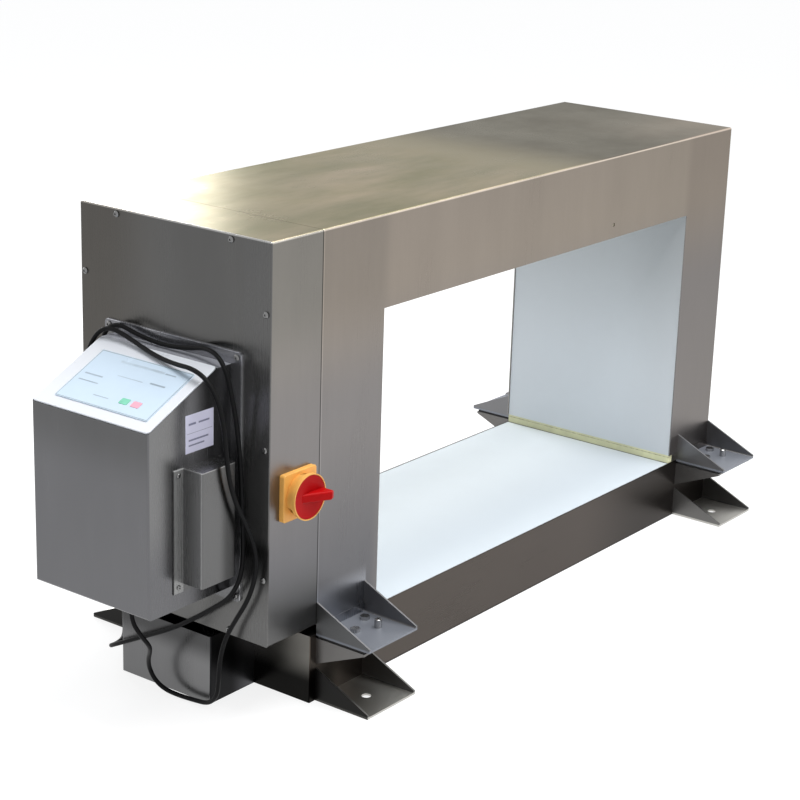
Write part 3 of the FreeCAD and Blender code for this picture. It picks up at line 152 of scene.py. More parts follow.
def soft_lamp(name, place, target, size, watts):
    """A rectangular lamp, size wide and high, that stands at a place and faces a target."""
    lamp = bpy.data.lights.new(name, "AREA")
    lamp.shape = "RECTANGLE"
    lamp.size, lamp.size_y = size
    lamp.energy = watts
    holder = bpy.data.objects.new(name, lamp)
    holder.location = place
    holder.rotation_euler = (Vector(target) - Vector(place)).to_track_quat("-Z", "Y").to_euler()
    bpy.context.collection.objects.link(holder)


soft_lamp("overhead_light", (0.1, -0.7, 3.2), target=(0, 0, 0.3), size=(2.6, 2.0), watts=126)
soft_lamp("front_light", (0.9, -3.6, 2.2), target=(0, 0, 0.3), size=(2.0, 1.4), watts=30)
soft_lamp("tunnel_light", (-0.3, 1.6, 0.95), target=(0.1, 0, 0.1), size=(1.2, 0.8), watts=4)
soft_lamp("belt_light", (0.5, 1.6, 0.95), target=(0.1, 0.05, 0.1), size=(1.0, 0.6), watts=17)

# ---- Head and electronics housing --------------------------------------------------------------
# The head is an upside-down U round the tunnel, and the housing beside it a square tube. Both are
# folded and welded from 2 mm stainless sheet, and bolted together at the seam.


def plain_material(name, colour, roughness, metallic=0.0):
    """A new Principled material; returns it with its nodes, links and shader."""
    material = bpy.data.materials.new(name)
    material.use_nodes = True
    nodes, links = material.node_tree.nodes, material.node_tree.links
    shader = nodes["Principled BSDF"]
    shader.inputs["Base Color"].default_value = (*colour, 1)
    shader.inputs["Roughness"].default_value = roughness
    shader.inputs["Metallic"].default_value = metallic
    return material, nodes, links, shader


def speckled(nodes, links, scale, stretch=(1, 1, 1), detail=4.0, roughness=0.6):
    """Noise in object coordinates, drawn out along an axis where its stretch is small."""
    where = nodes.new("ShaderNodeTexCoord")
    mapping = nodes.new("ShaderNodeMapping")
    mapping.inputs["Scale"].default_value = stretch
    noise = nodes.new("ShaderNodeTexNoise")
    noise.inputs["Scale"].default_value = scale
    noise.inputs["Detail"].default_value = detail
    noise.inputs["Roughness"].default_value = roughness
    links.new(where.outputs["Object"], mapping.inputs["Vector"])
    links.new(mapping.outputs[0], noise.inputs["Vector"])
    return noise.outputs["Fac"]


NOISE_LOW, NOISE_HIGH = 0.3, 0.7    # most of a noise lies between these


def spread_over(nodes, links, value, low, high):
    """Maps the middle of a 0 to 1 pattern onto low to high."""
    map_range = nodes.new("ShaderNodeMapRange")
    map_range.inputs["From Min"].default_value = NOISE_LOW
    map_range.inputs["From Max"].default_value = NOISE_HIGH
    map_range.inputs["To Min"].default_value = low
    map_range.inputs["To Max"].default_value = high
    links.new(value, map_range.inputs["Value"])
    return map_range.outputs[0]


def mix_colours(nodes, links, share, first, second, blend="MIX"):
    """Mixes two colours, or colour sockets, by a share socket or number."""
    mix = nodes.new("ShaderNodeMix")
    mix.data_type = "RGBA"
    mix.blend_type = blend
    # the colour mix's own sockets are its factor, its A and its B
    for socket, value in ((mix.inputs[0], share), (mix.inputs[6], first), (mix.inputs[7], second)):
        if isinstance(value, bpy.types.NodeSocket):
            links.new(value, socket)
        elif isinstance(value, (int, float)):
            socket.default_value = value
        else:
            socket.default_value = (*value, 1)
    return mix.outputs[2]


def multiply(nodes, links, first, second):
    """The product of two value sockets."""
    times = nodes.new("ShaderNodeMath")
    times.operation = "MULTIPLY"
    links.new(first, times.inputs[0])
    links.new(second, times.inputs[1])
    return times.outputs[0]


def roughen(nodes, links, shader, height, distance, strength):
    """Bump of a given real height in metres."""
    bump = nodes.new("ShaderNodeBump")
    bump.inputs["Distance"].default_value = distance
    bump.inputs["Strength"].default_value = strength
    links.new(height, bump.inputs["Height"])
    links.new(bump.outputs[0], shader.inputs["Normal"])


def ramp(nodes, links, axis, start, end):
    """0 to 1 along X, Y or Z, smoothly from start to end in metres."""
    where = nodes.new("ShaderNodeTexCoord")
    split = nodes.new("ShaderNodeSeparateXYZ")
    links.new(where.outputs["Object"], split.inputs[0])
    step = nodes.new("ShaderNodeMapRange")
    step.interpolation_type = "SMOOTHSTEP"
    step.inputs["From Min"].default_value = start
    step.inputs["From Max"].default_value = end
    links.new(split.outputs[axis], step.inputs["Value"])
    return step.outputs[0]


def patched(nodes, links, colour, patches):
    """Tints a colour in soft-edged regions.

    A patch is its tint and then its edges. An edge (axis, start, end) grows along an axis from
    nothing at start to all of the tint at end; ("cloud", scale, stretch) breaks the tint up.
    """
    for tint, *edges in patches:
        share = None
        for kind, first, second in edges:
            if kind == "cloud":
                step = spread_over(nodes, links, speckled(nodes, links, first, second), 0, 1)
            else:
                step = ramp(nodes, links, kind, first, second)
            share = step if share is None else multiply(nodes, links, share, step)
        colour = mix_colours(nodes, links, share, colour, tint, "MULTIPLY")
    return colour


def dress(material, *names):
    """Gives CAD nodes their material."""
    for name in names:
        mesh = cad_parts[name].data
        mesh.materials.clear()
        mesh.materials.append(material)


def drawn_out(along, stretch):
    """A pattern's scale on X, Y and Z, with one axis stretched."""
    return [stretch if axis == along else 1.0 for axis in "XYZ"]


def ground_steel(name, colour, grain_along, roughness=0.3, cloud=0.08, streak=0.02, patches=(),
                 dull=None):
    """Stainless sheet with a ground grain along X, Y or Z, a little cloudy from hands and wipes.

    A dull region, (share, axis, start, end), scatters that share of its light.
    """
    grain_scale, grain_stretch, grain_detail, grain_contrast = 700.0, 0.012, 5.0, 0.7
    smear_scale, smear_stretch, smear_detail, smear_contrast = 6.0, 0.25, 6.0, 0.65
    grain_depth, grain_strength, grain_gloss = 0.000005, 0.25, 0.02
    wiped_gloss, smeared_gloss = -0.05, 0.06
    material, nodes, links, shader = plain_material(name, colour, roughness, 1.0)
    grain = speckled(nodes, links, grain_scale, drawn_out(grain_along, grain_stretch),
                     grain_detail, grain_contrast)
    smear = speckled(nodes, links, smear_scale, drawn_out(grain_along, smear_stretch),
                     smear_detail, smear_contrast)
    pale = [min(1, channel * (1 + cloud)) for channel in colour]
    dark = [channel * (1 - cloud) for channel in colour]
    clouded = mix_colours(nodes, links, spread_over(nodes, links, smear, 0, 1), dark, pale)
    scaled = nodes.new("ShaderNodeVectorMath")
    scaled.operation = "SCALE"
    links.new(clouded, scaled.inputs[0])
    links.new(spread_over(nodes, links, grain, 1 - streak, 1 + streak), scaled.inputs["Scale"])
    links.new(patched(nodes, links, scaled.outputs[0], patches), shader.inputs["Base Color"])
    uneven = nodes.new("ShaderNodeMath")
    uneven.operation = "ADD"
    links.new(spread_over(nodes, links, grain, roughness - grain_gloss, roughness + grain_gloss),
              uneven.inputs[0])
    links.new(spread_over(nodes, links, smear, wiped_gloss, smeared_gloss), uneven.inputs[1])
    links.new(uneven.outputs[0], shader.inputs["Roughness"])
    roughen(nodes, links, shader, grain, grain_depth, grain_strength)
    if dull:
        share, axis, start, end = dull
        mirror = nodes.new("ShaderNodeMath")
        mirror.operation = "MULTIPLY_ADD"
        mirror.inputs[1].default_value = -share
        mirror.inputs[2].default_value = 1.0
        links.new(ramp(nodes, links, axis, start, end), mirror.inputs[0])
        links.new(mirror.outputs[0], shader.inputs["Metallic"])
    return material


def grey(tone):
    """The same tone in all three channels."""
    return (tone, tone, tone)


def outer_skin(axis, place, start=0.0015, whole=0.0005):
    """An edge that takes in the outer skin of a sheet whose lowest place on an axis is given."""
    return axis, place + start, place + whole


head_low, head_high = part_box("head_shell")
TOP, SEAM = head_high.z, head_low.x
TRAY_INNER_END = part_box("upper_bracket_front_left")[1].x
FRONT_SKIN = outer_skin("Y", head_low.y)
TOP_SKIN = ("Z", TOP - 0.0014, TOP - 0.0002)
HOUSING_SIDE = ("X", SEAM + 0.0002, SEAM - 0.0002)
head_seam_and_painted_light = [
    # painted reflections: the front is warm high up, and cooler and darker lower down and on both
    # legs, where it mirrors the floor's shade
    ((1.08, 0.97, 0.88), FRONT_SKIN),
    ((0.78, 0.85, 0.98), FRONT_SKIN, ("Z", 0.60, 0.42)),
    ((0.66, 0.70, 0.76), FRONT_SKIN, ("Z", 0.42, 0.16), ("X", -0.40, -0.44)),
    ((0.86, 0.87, 0.88), FRONT_SKIN, ("X", -0.40, -0.43), ("Z", 0.50, 0.60)),
    ((0.88, 0.87, 0.88), FRONT_SKIN, ("X", 0.40, 0.43)),
    # painted reflection on the housing's front, darker at its top and its foot
    ((0.86, 0.93, 0.98), FRONT_SKIN, HOUSING_SIDE, ("Z", 0.42, 0.60)),
    ((0.85, 0.85, 0.8), FRONT_SKIN, HOUSING_SIDE, ("Z", 0.24, 0.15)),
    # painted light on the stretch of skin inside the left bracket's tray, lit from the tray's floor
    ((1.8, 1.85, 1.9), FRONT_SKIN, ("X", SEAM, SEAM + 0.0005),
     ("X", TRAY_INNER_END + 0.0005, TRAY_INNER_END - 0.0005), ("Z", 0.18, 0.15)),
    # painted reflections on the top: olive, dark and clouded on its right, with a paler front
    # corner there
    ((0.92, 0.83, 0.61), TOP_SKIN),
    ((0.26, 0.26, 0.34), TOP_SKIN, ("X", -0.02, 0.18)),
    ((0.6, 0.6, 0.62), TOP_SKIN, ("X", 0.05, 0.2), ("cloud", 9.0, (0.5, 1, 1))),
    ((3.2, 3.0, 2.9), TOP_SKIN, ("X", 0.26, 0.48), ("Y", 0.06, -0.12)),
    # its left has mottled painted reflections, with a painted highlight as a bright blot at the
    # housing's end
    ((0.52, 0.60, 0.46), TOP_SKIN, ("X", 0.02, -0.1), ("cloud", 12.0, (0.35, 1, 1))),
    ((1.5, 1.38, 1.5), TOP_SKIN, ("X", 0.02, -0.1), ("cloud", 17.0, (0.25, 1, 1))),
    ((3.0, 2.7, 3.2), TOP_SKIN, ("X", -0.54, -0.62), ("Y", -0.03, 0.06), ("Y", 0.15, 0.09)),
    ((0.65, 0.7, 0.8), TOP_SKIN, ("X", -0.5, -0.6), ("Y", 0.09, 0.16)),
    # the seam's dark line, and a painted highlight on the edge beside it
    (grey(0.3), ("X", SEAM - 0.0018, SEAM - 0.0012), ("X", SEAM + 0.0008, SEAM + 0.0002)),
    (grey(1.35), ("X", SEAM + 0.0006, SEAM + 0.0012), ("X", SEAM + 0.0030, SEAM + 0.0024)),
    # a painted highlight on the fold between top and front
    (grey(2.6), ("Z", TOP - 0.0035, TOP - 0.002), outer_skin("Y", head_low.y, 0.0035, 0.002)),
]
head_steel = ground_steel("head_steel", (0.258, 0.25, 0.237), "Z", patches=head_seam_and_painted_light)
# seen at a low angle, the head keeps a warm tint
head_shader = head_steel.node_tree.nodes["Principled BSDF"]
head_shader.inputs["Specular Tint"].default_value = (0.8, 0.78, 0.7, 1)
dress(head_steel, "head_shell", "housing_wrapper")

# ---- Base --------------------------------------------------------------------------------------
# A long flat case of folded 2 mm stainless sheet under the belt, closed from below by a plate. Its
# grain runs lengthwise.

BASE_END = outer_skin("X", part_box("base_shell")[0].x)
base_painted_shade = [
    # painted shade: the whole front is darker and warmer
    ((0.5, 0.44, 0.40), FRONT_SKIN),
    # painted shade: darker in the shade of the left bracket, towards the right one, and in a shadow
    # line along the lower edge
    (grey(0.15), FRONT_SKIN, ("X", -0.50, -0.53), ("Z", 0.08, 0.03)),
    ((0.88, 0.86, 0.86), FRONT_SKIN, ("X", -0.30, 0.10)),
    (grey(0.42), FRONT_SKIN, ("X", 0.12, 0.36)),
    (grey(0.35), FRONT_SKIN, ("Z", 0.003, 0.0015)),
    # the left end, painted paler overall, with painted shade that darkens it towards the floor
    ((1.2, 1.2, 1.15), BASE_END),
    (grey(0.04), BASE_END, ("Z", 0.075, 0.03)),
]
base_steel = ground_steel("base_steel", (0.158, 0.152, 0.145), "X", patches=base_painted_shade)
dress(base_steel, "base_shell", "base_bottom_plate")

# ---- Coils and their formers -------------------------------------------------------------------
# Copper windings round the tunnel, held by ribbed resin formers in the head and in the base. Cores
# of the same resin stiffen the head's legs.


def moulded(name, colour, roughness, grain_scale=900.0, grain=0.00004, fade=0.12, gloss=0.5,
            patches=()):
    """Moulded plastic or rubber: slight cloudiness in colour and gloss, and a fine skin."""
    cloud_scale, gloss_change, grain_strength = 18.0, 0.15, 0.6
    material, nodes, links, shader = plain_material(name, colour, roughness)
    cloud = speckled(nodes, links, cloud_scale)
    dull = [channel * (1 - fade) for channel in colour]
    bright = [min(1, channel * (1 + fade)) for channel in colour]
    share = spread_over(nodes, links, cloud, 0.0, 1.0)
    tone = patched(nodes, links, mix_colours(nodes, links, share, dull, bright), patches)
    links.new(tone, shader.inputs["Base Color"])
    shader.inputs["Specular IOR Level"].default_value = gloss
    links.new(spread_over(nodes, links, cloud, roughness * (1 - gloss_change),
                          roughness * (1 + gloss_change)), shader.inputs["Roughness"])
    roughen(nodes, links, shader, speckled(nodes, links, grain_scale), grain, grain_strength)
    return material


former_resin = moulded("former_resin", (0.7, 0.66, 0.5), 0.6)
dress(former_resin, "beam_coil_former", "column_cores", "transmit_coil_former")
coil_copper = ground_steel("coil_copper", (0.6, 0.3, 0.16), "X", 0.35)
dress(coil_copper, "receive_coils", "transmit_coil")

# ---- Tunnel liners and seals -------------------------------------------------------------------
# White plastic sheets let into the steel on all four sides of the tunnel, and two foam strips that
# close the slot between head and base.

liner_painted_shade = [
    # painted shade: greyer high up, and towards the front
    ((0.68, 0.675, 0.66), ("Z", 0.22, 0.52)),
    (grey(0.88), ("Y", -0.04, -0.16)),
]
# the head's sheets are the belt sheet's white plastic, painted greyer as shade
liner_plastic = moulded("liner_plastic", (0.645, 0.685, 0.715), 0.45, grain_scale=500.0,
                        grain=0.00002, fade=0.01, patches=liner_painted_shade)
dress(liner_plastic, "head_liner_left", "head_liner_right", "head_liner_top")
# the sheet under the belt has painted shade, greyer towards the front
belt_painted_shade = [((0.60, 0.615, 0.64), ("Y", 0.10, -0.13))]
belt_liner = moulded("belt_liner", (0.88, 0.935, 0.955), 0.6, grain_scale=500.0, grain=0.00002,
                     fade=0.01, gloss=0.2, patches=belt_painted_shade)
dress(belt_liner, "base_liner")
# painted shade in a band of the foam just under the legs, broken into specks
seal_painted_shade = [((0.45, 0.42, 0.35), ("Z", 0.1125, 0.113), ("Z", 0.1145, 0.114),
                 ("cloud", 160.0, (1, 1, 1)))]
seal_foam = moulded("seal_foam", (0.66, 0.66, 0.42), 0.8, grain=0.0003, fade=0.15,
                    patches=seal_painted_shade)
dress(seal_foam, "split_seals")

# ---- Corner brackets ---------------------------------------------------------------------------
# Trays of 3 mm stainless plate, welded to head and base, with a rubber pad between the upper two.
# A closing strip in each upper tray carries the head's skin down to the tray's floor.

# each corner, and the way its tray reaches along Y
CORNERS = {"front_left": -1, "front_right": -1, "rear_left": 1, "rear_right": 1}
BRACKET_SHEET = 0.003
tray_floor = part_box("upper_bracket_front_left")[0].z + BRACKET_SHEET
UPPER_TRAY_FLOOR = ("Z", tray_floor + 0.0006, tray_floor + 0.0002)
LEFT_GUSSET = ("X", SEAM + 0.0010, SEAM + 0.0002)
upper_painted_light = [
    # painted light on the upper tray's floor, and painted shade on its left gusset
    ((1.1, 1.17, 1.3), UPPER_TRAY_FLOOR),
    ((0.55, 0.56, 0.56), LEFT_GUSSET, ("Z", 0.1, 0.105)),
]
upper_steel = ground_steel("upper_steel", (0.19, 0.19, 0.195), "X", 0.4, patches=upper_painted_light,
                           dull=(0.5, *UPPER_TRAY_FLOOR))
middle_steel = ground_steel("middle_steel", (0.16, 0.155, 0.15), "X", 0.4)
foot_painted_light = [
    # painted light on the foot's floor, and painted shade on its left gusset
    ((3.2, 3.2, 3.1), ("Z", BRACKET_SHEET + 0.0006, BRACKET_SHEET)),
    (grey(0.12), LEFT_GUSSET),
]
foot_steel = ground_steel("foot_steel", (0.16, 0.157, 0.152), "X", 0.4, patches=foot_painted_light)
for corner in CORNERS:
    dress(upper_steel, f"upper_bracket_{corner}")
    dress(middle_steel, f"middle_bracket_{corner}")
    dress(foot_steel, f"foot_bracket_{corner}")

SLOT_TOP = head_low.z
STRIP_THICKNESS = 0.0012
STRIP_CLEARANCE = 0.0004
bm = bmesh.new()
for corner, facing in CORNERS.items():
    tray_low, tray_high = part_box(f"upper_bracket_{corner}")
    skin = (tray_high if facing < 0 else tray_low).y
    middle = Vector(((tray_low.x + tray_high.x) / 2, skin + facing * STRIP_THICKNESS / 2,
                     (tray_floor + SLOT_TOP) / 2))
    size = (tray_high.x - tray_low.x - 2 * (BRACKET_SHEET + STRIP_CLEARANCE), STRIP_THICKNESS,
            SLOT_TOP - tray_floor)
    bmesh.ops.create_cube(bm, size=1.0, matrix=Matrix.Translation(middle)
                          @ Matrix.Diagonal((*size, 1)))
closing_strips = finish_mesh("closing_strips", bm, head_steel)
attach(closing_strips, "machine")

pad_rubber = moulded("pad_rubber", (0.02, 0.02, 0.02), 0.7)
dress(pad_rubber, "bracket_pads", "grommets")

# ---- Cable box ---------------------------------------------------------------------------------
# A box of folded 2 mm stainless sheet, bolted to the base's left end under the housing. The lead
# that links base and electronics runs inside it.

cable_box_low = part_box("cable_box")[0]
CABLE_BOX_FRONT = outer_skin("Y", cable_box_low.y)
CABLE_BOX_END = outer_skin("X", cable_box_low.x)
cable_box_painted_light = [
    # painted shade: its front lies in the housing's shade, with painted light on the bright corner
    # at the base
    ((0.08, 0.08, 0.085), CABLE_BOX_FRONT),
    (grey(6.0), CABLE_BOX_FRONT, ("X", -0.62, -0.58)),
    # painted shade: its left end is darker towards the housing, and paler towards the front
    (grey(0.42), CABLE_BOX_END, ("Z", 0.055, 0.09)),
    (grey(1.15), CABLE_BOX_END, ("Y", 0.0, -0.05)),
]
cable_box_steel = ground_steel("cable_box_steel", (0.165, 0.165, 0.167), "Z",
                               patches=cable_box_painted_light)
dress(cable_box_steel, "cable_box")

# ---- Boards, display, supply and terminals -----------------------------------------------------
# The electronics in the housing and in the operator box: glass-fibre boards, a display behind the
# film, a supply in an aluminium case, and a moulded terminal block.

board_green = moulded("board_green", (0.03, 0.2, 0.08), 0.45)
dress(board_green, "keypad_board", "control_board", "receiver_board")
display_black = moulded("display_black", (0.02, 0.025, 0.03), 0.15)
dress(display_black, "display_module")
terminal_grey = moulded("terminal_grey", (0.4, 0.41, 0.42), 0.5)
dress(terminal_grey, "terminal_block")
supply_aluminium = ground_steel("supply_aluminium", (0.6, 0.61, 0.62), "Z", 0.4)
dress(supply_aluminium, "power_supply")

# ---- End panel ---------------------------------------------------------------------------------
# A flat 2 mm stainless sheet screwed on the housing's left end, with the grain upright. A second
# sheet stands behind it in the housing and carries the electronics.

end_panel_painted_light = [
    # painted reflections: warmer and darker towards the back, and paler low down
    ((0.84, 0.80, 0.75), ("Y", 0.0, 0.14)),
    (grey(1.15), ("Z", 0.19, 0.14)),
    # a painted dark band of shade and reflection beside the operator box's lower half
    (grey(0.25), ("Y", -0.12, -0.14), ("Z", 0.28, 0.255), ("Z", 0.19, 0.225)),
    # a painted highlight on the upper edge
    (grey(3.5), ("Z", TOP - 0.0025, TOP - 0.0015)),
]
panel_steel = ground_steel("panel_steel", (0.107, 0.106, 0.104), "Z", 0.26, patches=end_panel_painted_light,
                           dull=(0.3, "Y", -0.12, -0.135))
dress(panel_steel, "end_panel", "mounting_plate")

# ---- Operator box ------------------------------------------------------------------------------
# A box folded from 1.5 mm stainless sheet, brighter than the cases. It hangs on a 3 mm plate that
# is screwed to the end panel by its corners.

box_low, box_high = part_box("control_box")
BOX_SIDE = outer_skin("Y", box_low.y, 0.0006, 0.0001)
BOX_FRONT = outer_skin("X", box_low.x, 0.0008, 0.0003)
box_patches = [
    # painted light on the flat strip behind the slope
    ((4.6, 4.7, 4.9), ("Z", box_high.z - 0.0008, box_high.z - 0.0002)),
    # painted light on part of the side, and painted shade on the upper front
    ((1.3, 1.3, 1.25), BOX_SIDE, ("X", -0.76, -0.78), ("Z", 0.24, 0.34)),
    ((0.8, 0.8, 0.78), BOX_FRONT, ("Z", 0.36, 0.44)),
]
box_steel = ground_steel("box_steel", (0.138, 0.138, 0.144), "Z", 0.24, patches=box_patches,
                         dull=(0.55, "Z", box_high.z - 0.0008, box_high.z - 0.0004))
dress(box_steel, "control_box")

plate_low, plate_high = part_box("control_plate")
plate_painted_light = [
    # painted light above the box's top
    ((1.35, 1.35, 1.4), ("Z", box_high.z + 0.0005, box_high.z + 0.001)),
    # painted highlights on the cut edges, on the right and at the top
    (grey(3.0), outer_skin("Y", plate_low.y, 0.0015, 0.0008)),
    (grey(2.6), ("Z", plate_high.z - 0.0012, plate_high.z - 0.0006)),
]
plate_steel = ground_steel("plate_steel", (0.15, 0.15, 0.155), "Z", 0.24, patches=plate_painted_light,
                           dull=(0.25, "Z", 0.0, 0.1))
dress(plate_steel, "control_plate")

# ---- Side cover --------------------------------------------------------------------------------
# A hood folded from 1.5 mm stainless sheet, with a flange down its left edge. Two screws hold the
# flange to the operator box's right side.

cover_low, cover_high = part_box("side_cover")
FLANGE_WIDTH = 0.018
hood_left = cover_low.x + FLANGE_WIDTH
HOOD_SIDE = ("X", hood_left + 0.0020, hood_left + 0.0012)
ABOVE_FLANGE = ("Y", box_low.y - 0.0025, box_low.y - 0.0035)
cover_painted_light = [
    # painted light on the flange, and a painted shadow line along its outer edge
    ((2.0, 2.0, 1.97), ("X", hood_left + 0.0008, hood_left + 0.0002)),
    (grey(0.3), outer_skin("X", cover_low.x, 0.0015, 0.0010)),
    # painted shade: the hood's left side, darker towards the box
    (grey(1.5), HOOD_SIDE, ABOVE_FLANGE),
    (grey(0.5), HOOD_SIDE, ABOVE_FLANGE, ("Y", -0.14, -0.115)),
    # its face, with the lead's painted shadow, and a painted highlight on its top
    (grey(0.5), outer_skin("Y", cover_low.y, 0.0008, 0.0003), ("X", -0.725, -0.705)),
    (grey(2.4), ("Z", cover_high.z - 0.0018, cover_high.z - 0.0010)),
]
cover_steel = ground_steel("cover_steel", grey(0.13), "Z", 0.24, patches=cover_painted_light,
                           dull=(0.45, *HOOD_SIDE))
dress(cover_steel, "side_cover")

# ---- Operator panel and its film ---------------------------------------------------------------
# A white moulded panel on the box's slope, with a pale blue keypad film glued on. The film carries
# a thin border, a few plain dashes and one pale bar.

panel_white = moulded("panel_white", (0.7, 0.72, 0.76), 0.3, grain_scale=260.0, grain=0.00003,
                      fade=0.01)
dress(panel_white, "operator_panel")
film_blue = moulded("film_blue", (0.55, 0.665, 0.775), 0.25, grain_scale=1500.0, grain=0.00001,
                    fade=0.02)
dress(film_blue, "display_film")


def printing_ink(name, colour, roughness=0.35):
    """A smooth ink, a little uneven in tone."""
    return moulded(name, colour, roughness, grain=0.00001, fade=0.2)


def printed_on(name, material, corner, along, across, marks):
    """Flat marks on a plane; a mark is its low and high place along and across, in metres."""
    turn = Matrix((along, across, along.cross(across))).transposed().to_4x4()
    bm = bmesh.new()
    for low_a, low_b, high_a, high_b in marks:
        middle = corner + along * (low_a + high_a) / 2 + across * (low_b + high_b) / 2
        size = (high_a - low_a, high_b - low_b, 1, 1)
        bmesh.ops.create_grid(bm, x_segments=1, y_segments=1, size=0.5,
                              matrix=Matrix.Translation(middle) @ turn @ Matrix.Diagonal(size))
    piece = finish_mesh(name, bm, material)
    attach(piece, "machine")


INK_LIFT = 0.00006
SLOPE_RISE, SLOPE_RUN = 0.062, 0.132
FILM_WIDTH = 0.101          # up the slope
FILM_THICKNESS = 0.0012
BORDER_LINE = 0.0009
slope_angle = math.atan2(SLOPE_RISE, SLOPE_RUN)
ACROSS_FILM = Vector((0, -1, 0))
UP_SLOPE = Vector((math.cos(slope_angle), 0, math.sin(slope_angle)))
OFF_SLOPE = Vector((-math.sin(slope_angle), 0, math.cos(slope_angle)))
film_low, film_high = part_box("display_film")
film_length = film_high.y - film_low.y
film_corner = Vector((film_low.x, film_high.y, film_low.z + FILM_THICKNESS * OFF_SLOPE.z))
film_corner += OFF_SLOPE * INK_LIFT

# the border's line starts one line's width in from the film's edge
inner_length, inner_width = film_length - BORDER_LINE, FILM_WIDTH - BORDER_LINE
film_ink = printing_ink("film_ink", (0.22, 0.27, 0.29))
printed_on("film_border", film_ink, film_corner, ACROSS_FILM, UP_SLOPE, [
    (BORDER_LINE, BORDER_LINE, inner_length, 2 * BORDER_LINE),
    (BORDER_LINE, inner_width - BORDER_LINE, inner_length, inner_width),
    (BORDER_LINE, 2 * BORDER_LINE, 2 * BORDER_LINE, inner_width - BORDER_LINE),
    (inner_length - BORDER_LINE, 2 * BORDER_LINE, inner_length, inner_width - BORDER_LINE)])
mark_ink = printing_ink("mark_ink", (0.33, 0.40, 0.47))
printed_on("film_marks", mark_ink, film_corner, ACROSS_FILM, UP_SLOPE, [
    (0.010, 0.051, 0.043, 0.0535), (0.010, 0.038, 0.046, 0.040), (0.056, 0.018, 0.084, 0.0195),
    (0.128, 0.0865, 0.147, 0.089), (0.120, 0.063, 0.147, 0.066), (0.062, 0.062, 0.108, 0.063)])
pale_ink = printing_ink("pale_ink", (0.45, 0.54, 0.62))
printed_on("film_bands", pale_ink, film_corner, ACROSS_FILM, UP_SLOPE, [
    (0.046, 0.0865, 0.126, 0.0905)])

# ---- Film keys ---------------------------------------------------------------------------------
# Two small plastic caps, green and red, that stand in pockets of the film and press in by half a
# millimetre.

key_green = moulded("key_green", (0.2, 0.6, 0.42), 0.3, grain_scale=1500.0, grain=0.00001)
dress(key_green, "key_green")
key_red = moulded("key_red", (0.82, 0.38, 0.48), 0.3, grain_scale=1500.0, grain=0.00001)
dress(key_red, "key_red")

# ---- Label -------------------------------------------------------------------------------------
# A pale plastic label stuck on the operator box's right side, above the cover, with a few plain
# bars printed on it.

LABEL_LEFT, LABEL_FOOT = -0.7505, 0.406
LABEL_LENGTH, LABEL_HEIGHT, LABEL_LINE = 0.054, 0.053, 0.0006
LABEL_MARGIN = 0.003
LABEL_RULE = 0.0265         # height of the thin rule across it
LABEL_THICKNESS = 0.0001
ALONG_LABEL, UP_LABEL = Vector((1, 0, 0)), Vector((0, 0, 1))
label_corner = Vector((LABEL_LEFT, box_low.y - LABEL_THICKNESS, LABEL_FOOT))
label_film = moulded("label_film", (0.56, 0.55, 0.68), 0.4, grain=0.00001, fade=0.03)
printed_on("side_label", label_film, label_corner, ALONG_LABEL, UP_LABEL,
           [(0, 0, LABEL_LENGTH, LABEL_HEIGHT)])
label_ink = printing_ink("label_ink", (0.16, 0.16, 0.24), 0.4)
ink_corner = label_corner - Vector((0, INK_LIFT, 0))
printed_on("label_marks", label_ink, ink_corner, ALONG_LABEL, UP_LABEL, [
    (LABEL_MARGIN, LABEL_RULE, LABEL_LENGTH - LABEL_MARGIN, LABEL_RULE + LABEL_LINE),
    (0.006, 0.038, 0.020, 0.041), (0.025, 0.038, 0.046, 0.0405),
    (0.006, 0.016, 0.044, 0.0185), (0.006, 0.009, 0.036, 0.0112)])

# ---- Isolator ----------------------------------------------------------------------------------
# A rotary main switch on the housing's front: a yellow moulded plate with a slotted collar, and a
# red moulded handle that makes a quarter turn. Its skirt shows through the collar's padlock slots.

isolator_yellow = moulded("isolator_yellow", (0.78, 0.4, 0.095), 0.38, grain_scale=600.0,
                          gloss=0.3)
dress(isolator_yellow, "isolator_plate")
isolator_red = moulded("isolator_red", (0.37, 0.002, 0.003), 0.4, grain_scale=600.0, gloss=0.08)
dress(isolator_red, "isolator_knob")

SKIRT_INNER, SKIRT_OUTER, SKIRT_LENGTH = 0.0222, 0.0236, 0.0098
SKIRT_CLEARANCE = 0.0002    # between the skirt and the plate
SKIRT_SEGMENTS = 96
ISOLATOR_PLATE = 0.008
# the skirt is the handle's red, painted darker as the shade inside the slots
skirt_red = moulded("skirt_red", (0.12, 0.004, 0.003), 0.5, grain_scale=600.0, gloss=0.1)
isolator_low, isolator_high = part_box("isolator_plate")
axis = (isolator_low + isolator_high) / 2
skirt_back = isolator_high.y - ISOLATOR_PLATE - SKIRT_CLEARANCE
profile = [(SKIRT_INNER, 0), (SKIRT_OUTER, 0), (SKIRT_OUTER, SKIRT_LENGTH),
           (SKIRT_INNER, SKIRT_LENGTH)]
bm = bmesh.new()
ring = [bm.verts.new((axis.x + radius, skirt_back - along, axis.z)) for radius, along in profile]
edges = [bm.edges.new((ring[n - 1], ring[n])) for n in range(len(ring))]
bmesh.ops.spin(bm, geom=ring + edges, cent=(axis.x, 0, axis.z), axis=(0, 1, 0),
               angle=2 * math.pi, steps=SKIRT_SEGMENTS, use_merge=True)
bmesh.ops.recalc_face_normals(bm, faces=bm.faces)
handle_skirt = finish_mesh("handle_skirt", bm, skirt_red)
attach(handle_skirt, "isolator_handle")

switch_black = moulded("switch_black", (0.03, 0.03, 0.03), 0.5)
dress(switch_black, "isolator_body")

# ---- Screws, bolts and studs -------------------------------------------------------------------
# Turned and pressed stainless steel. Small screws hold the end panel, the plate and the side cover,
# bolts hold the cases and the brackets together, and slotted studs line up the head.

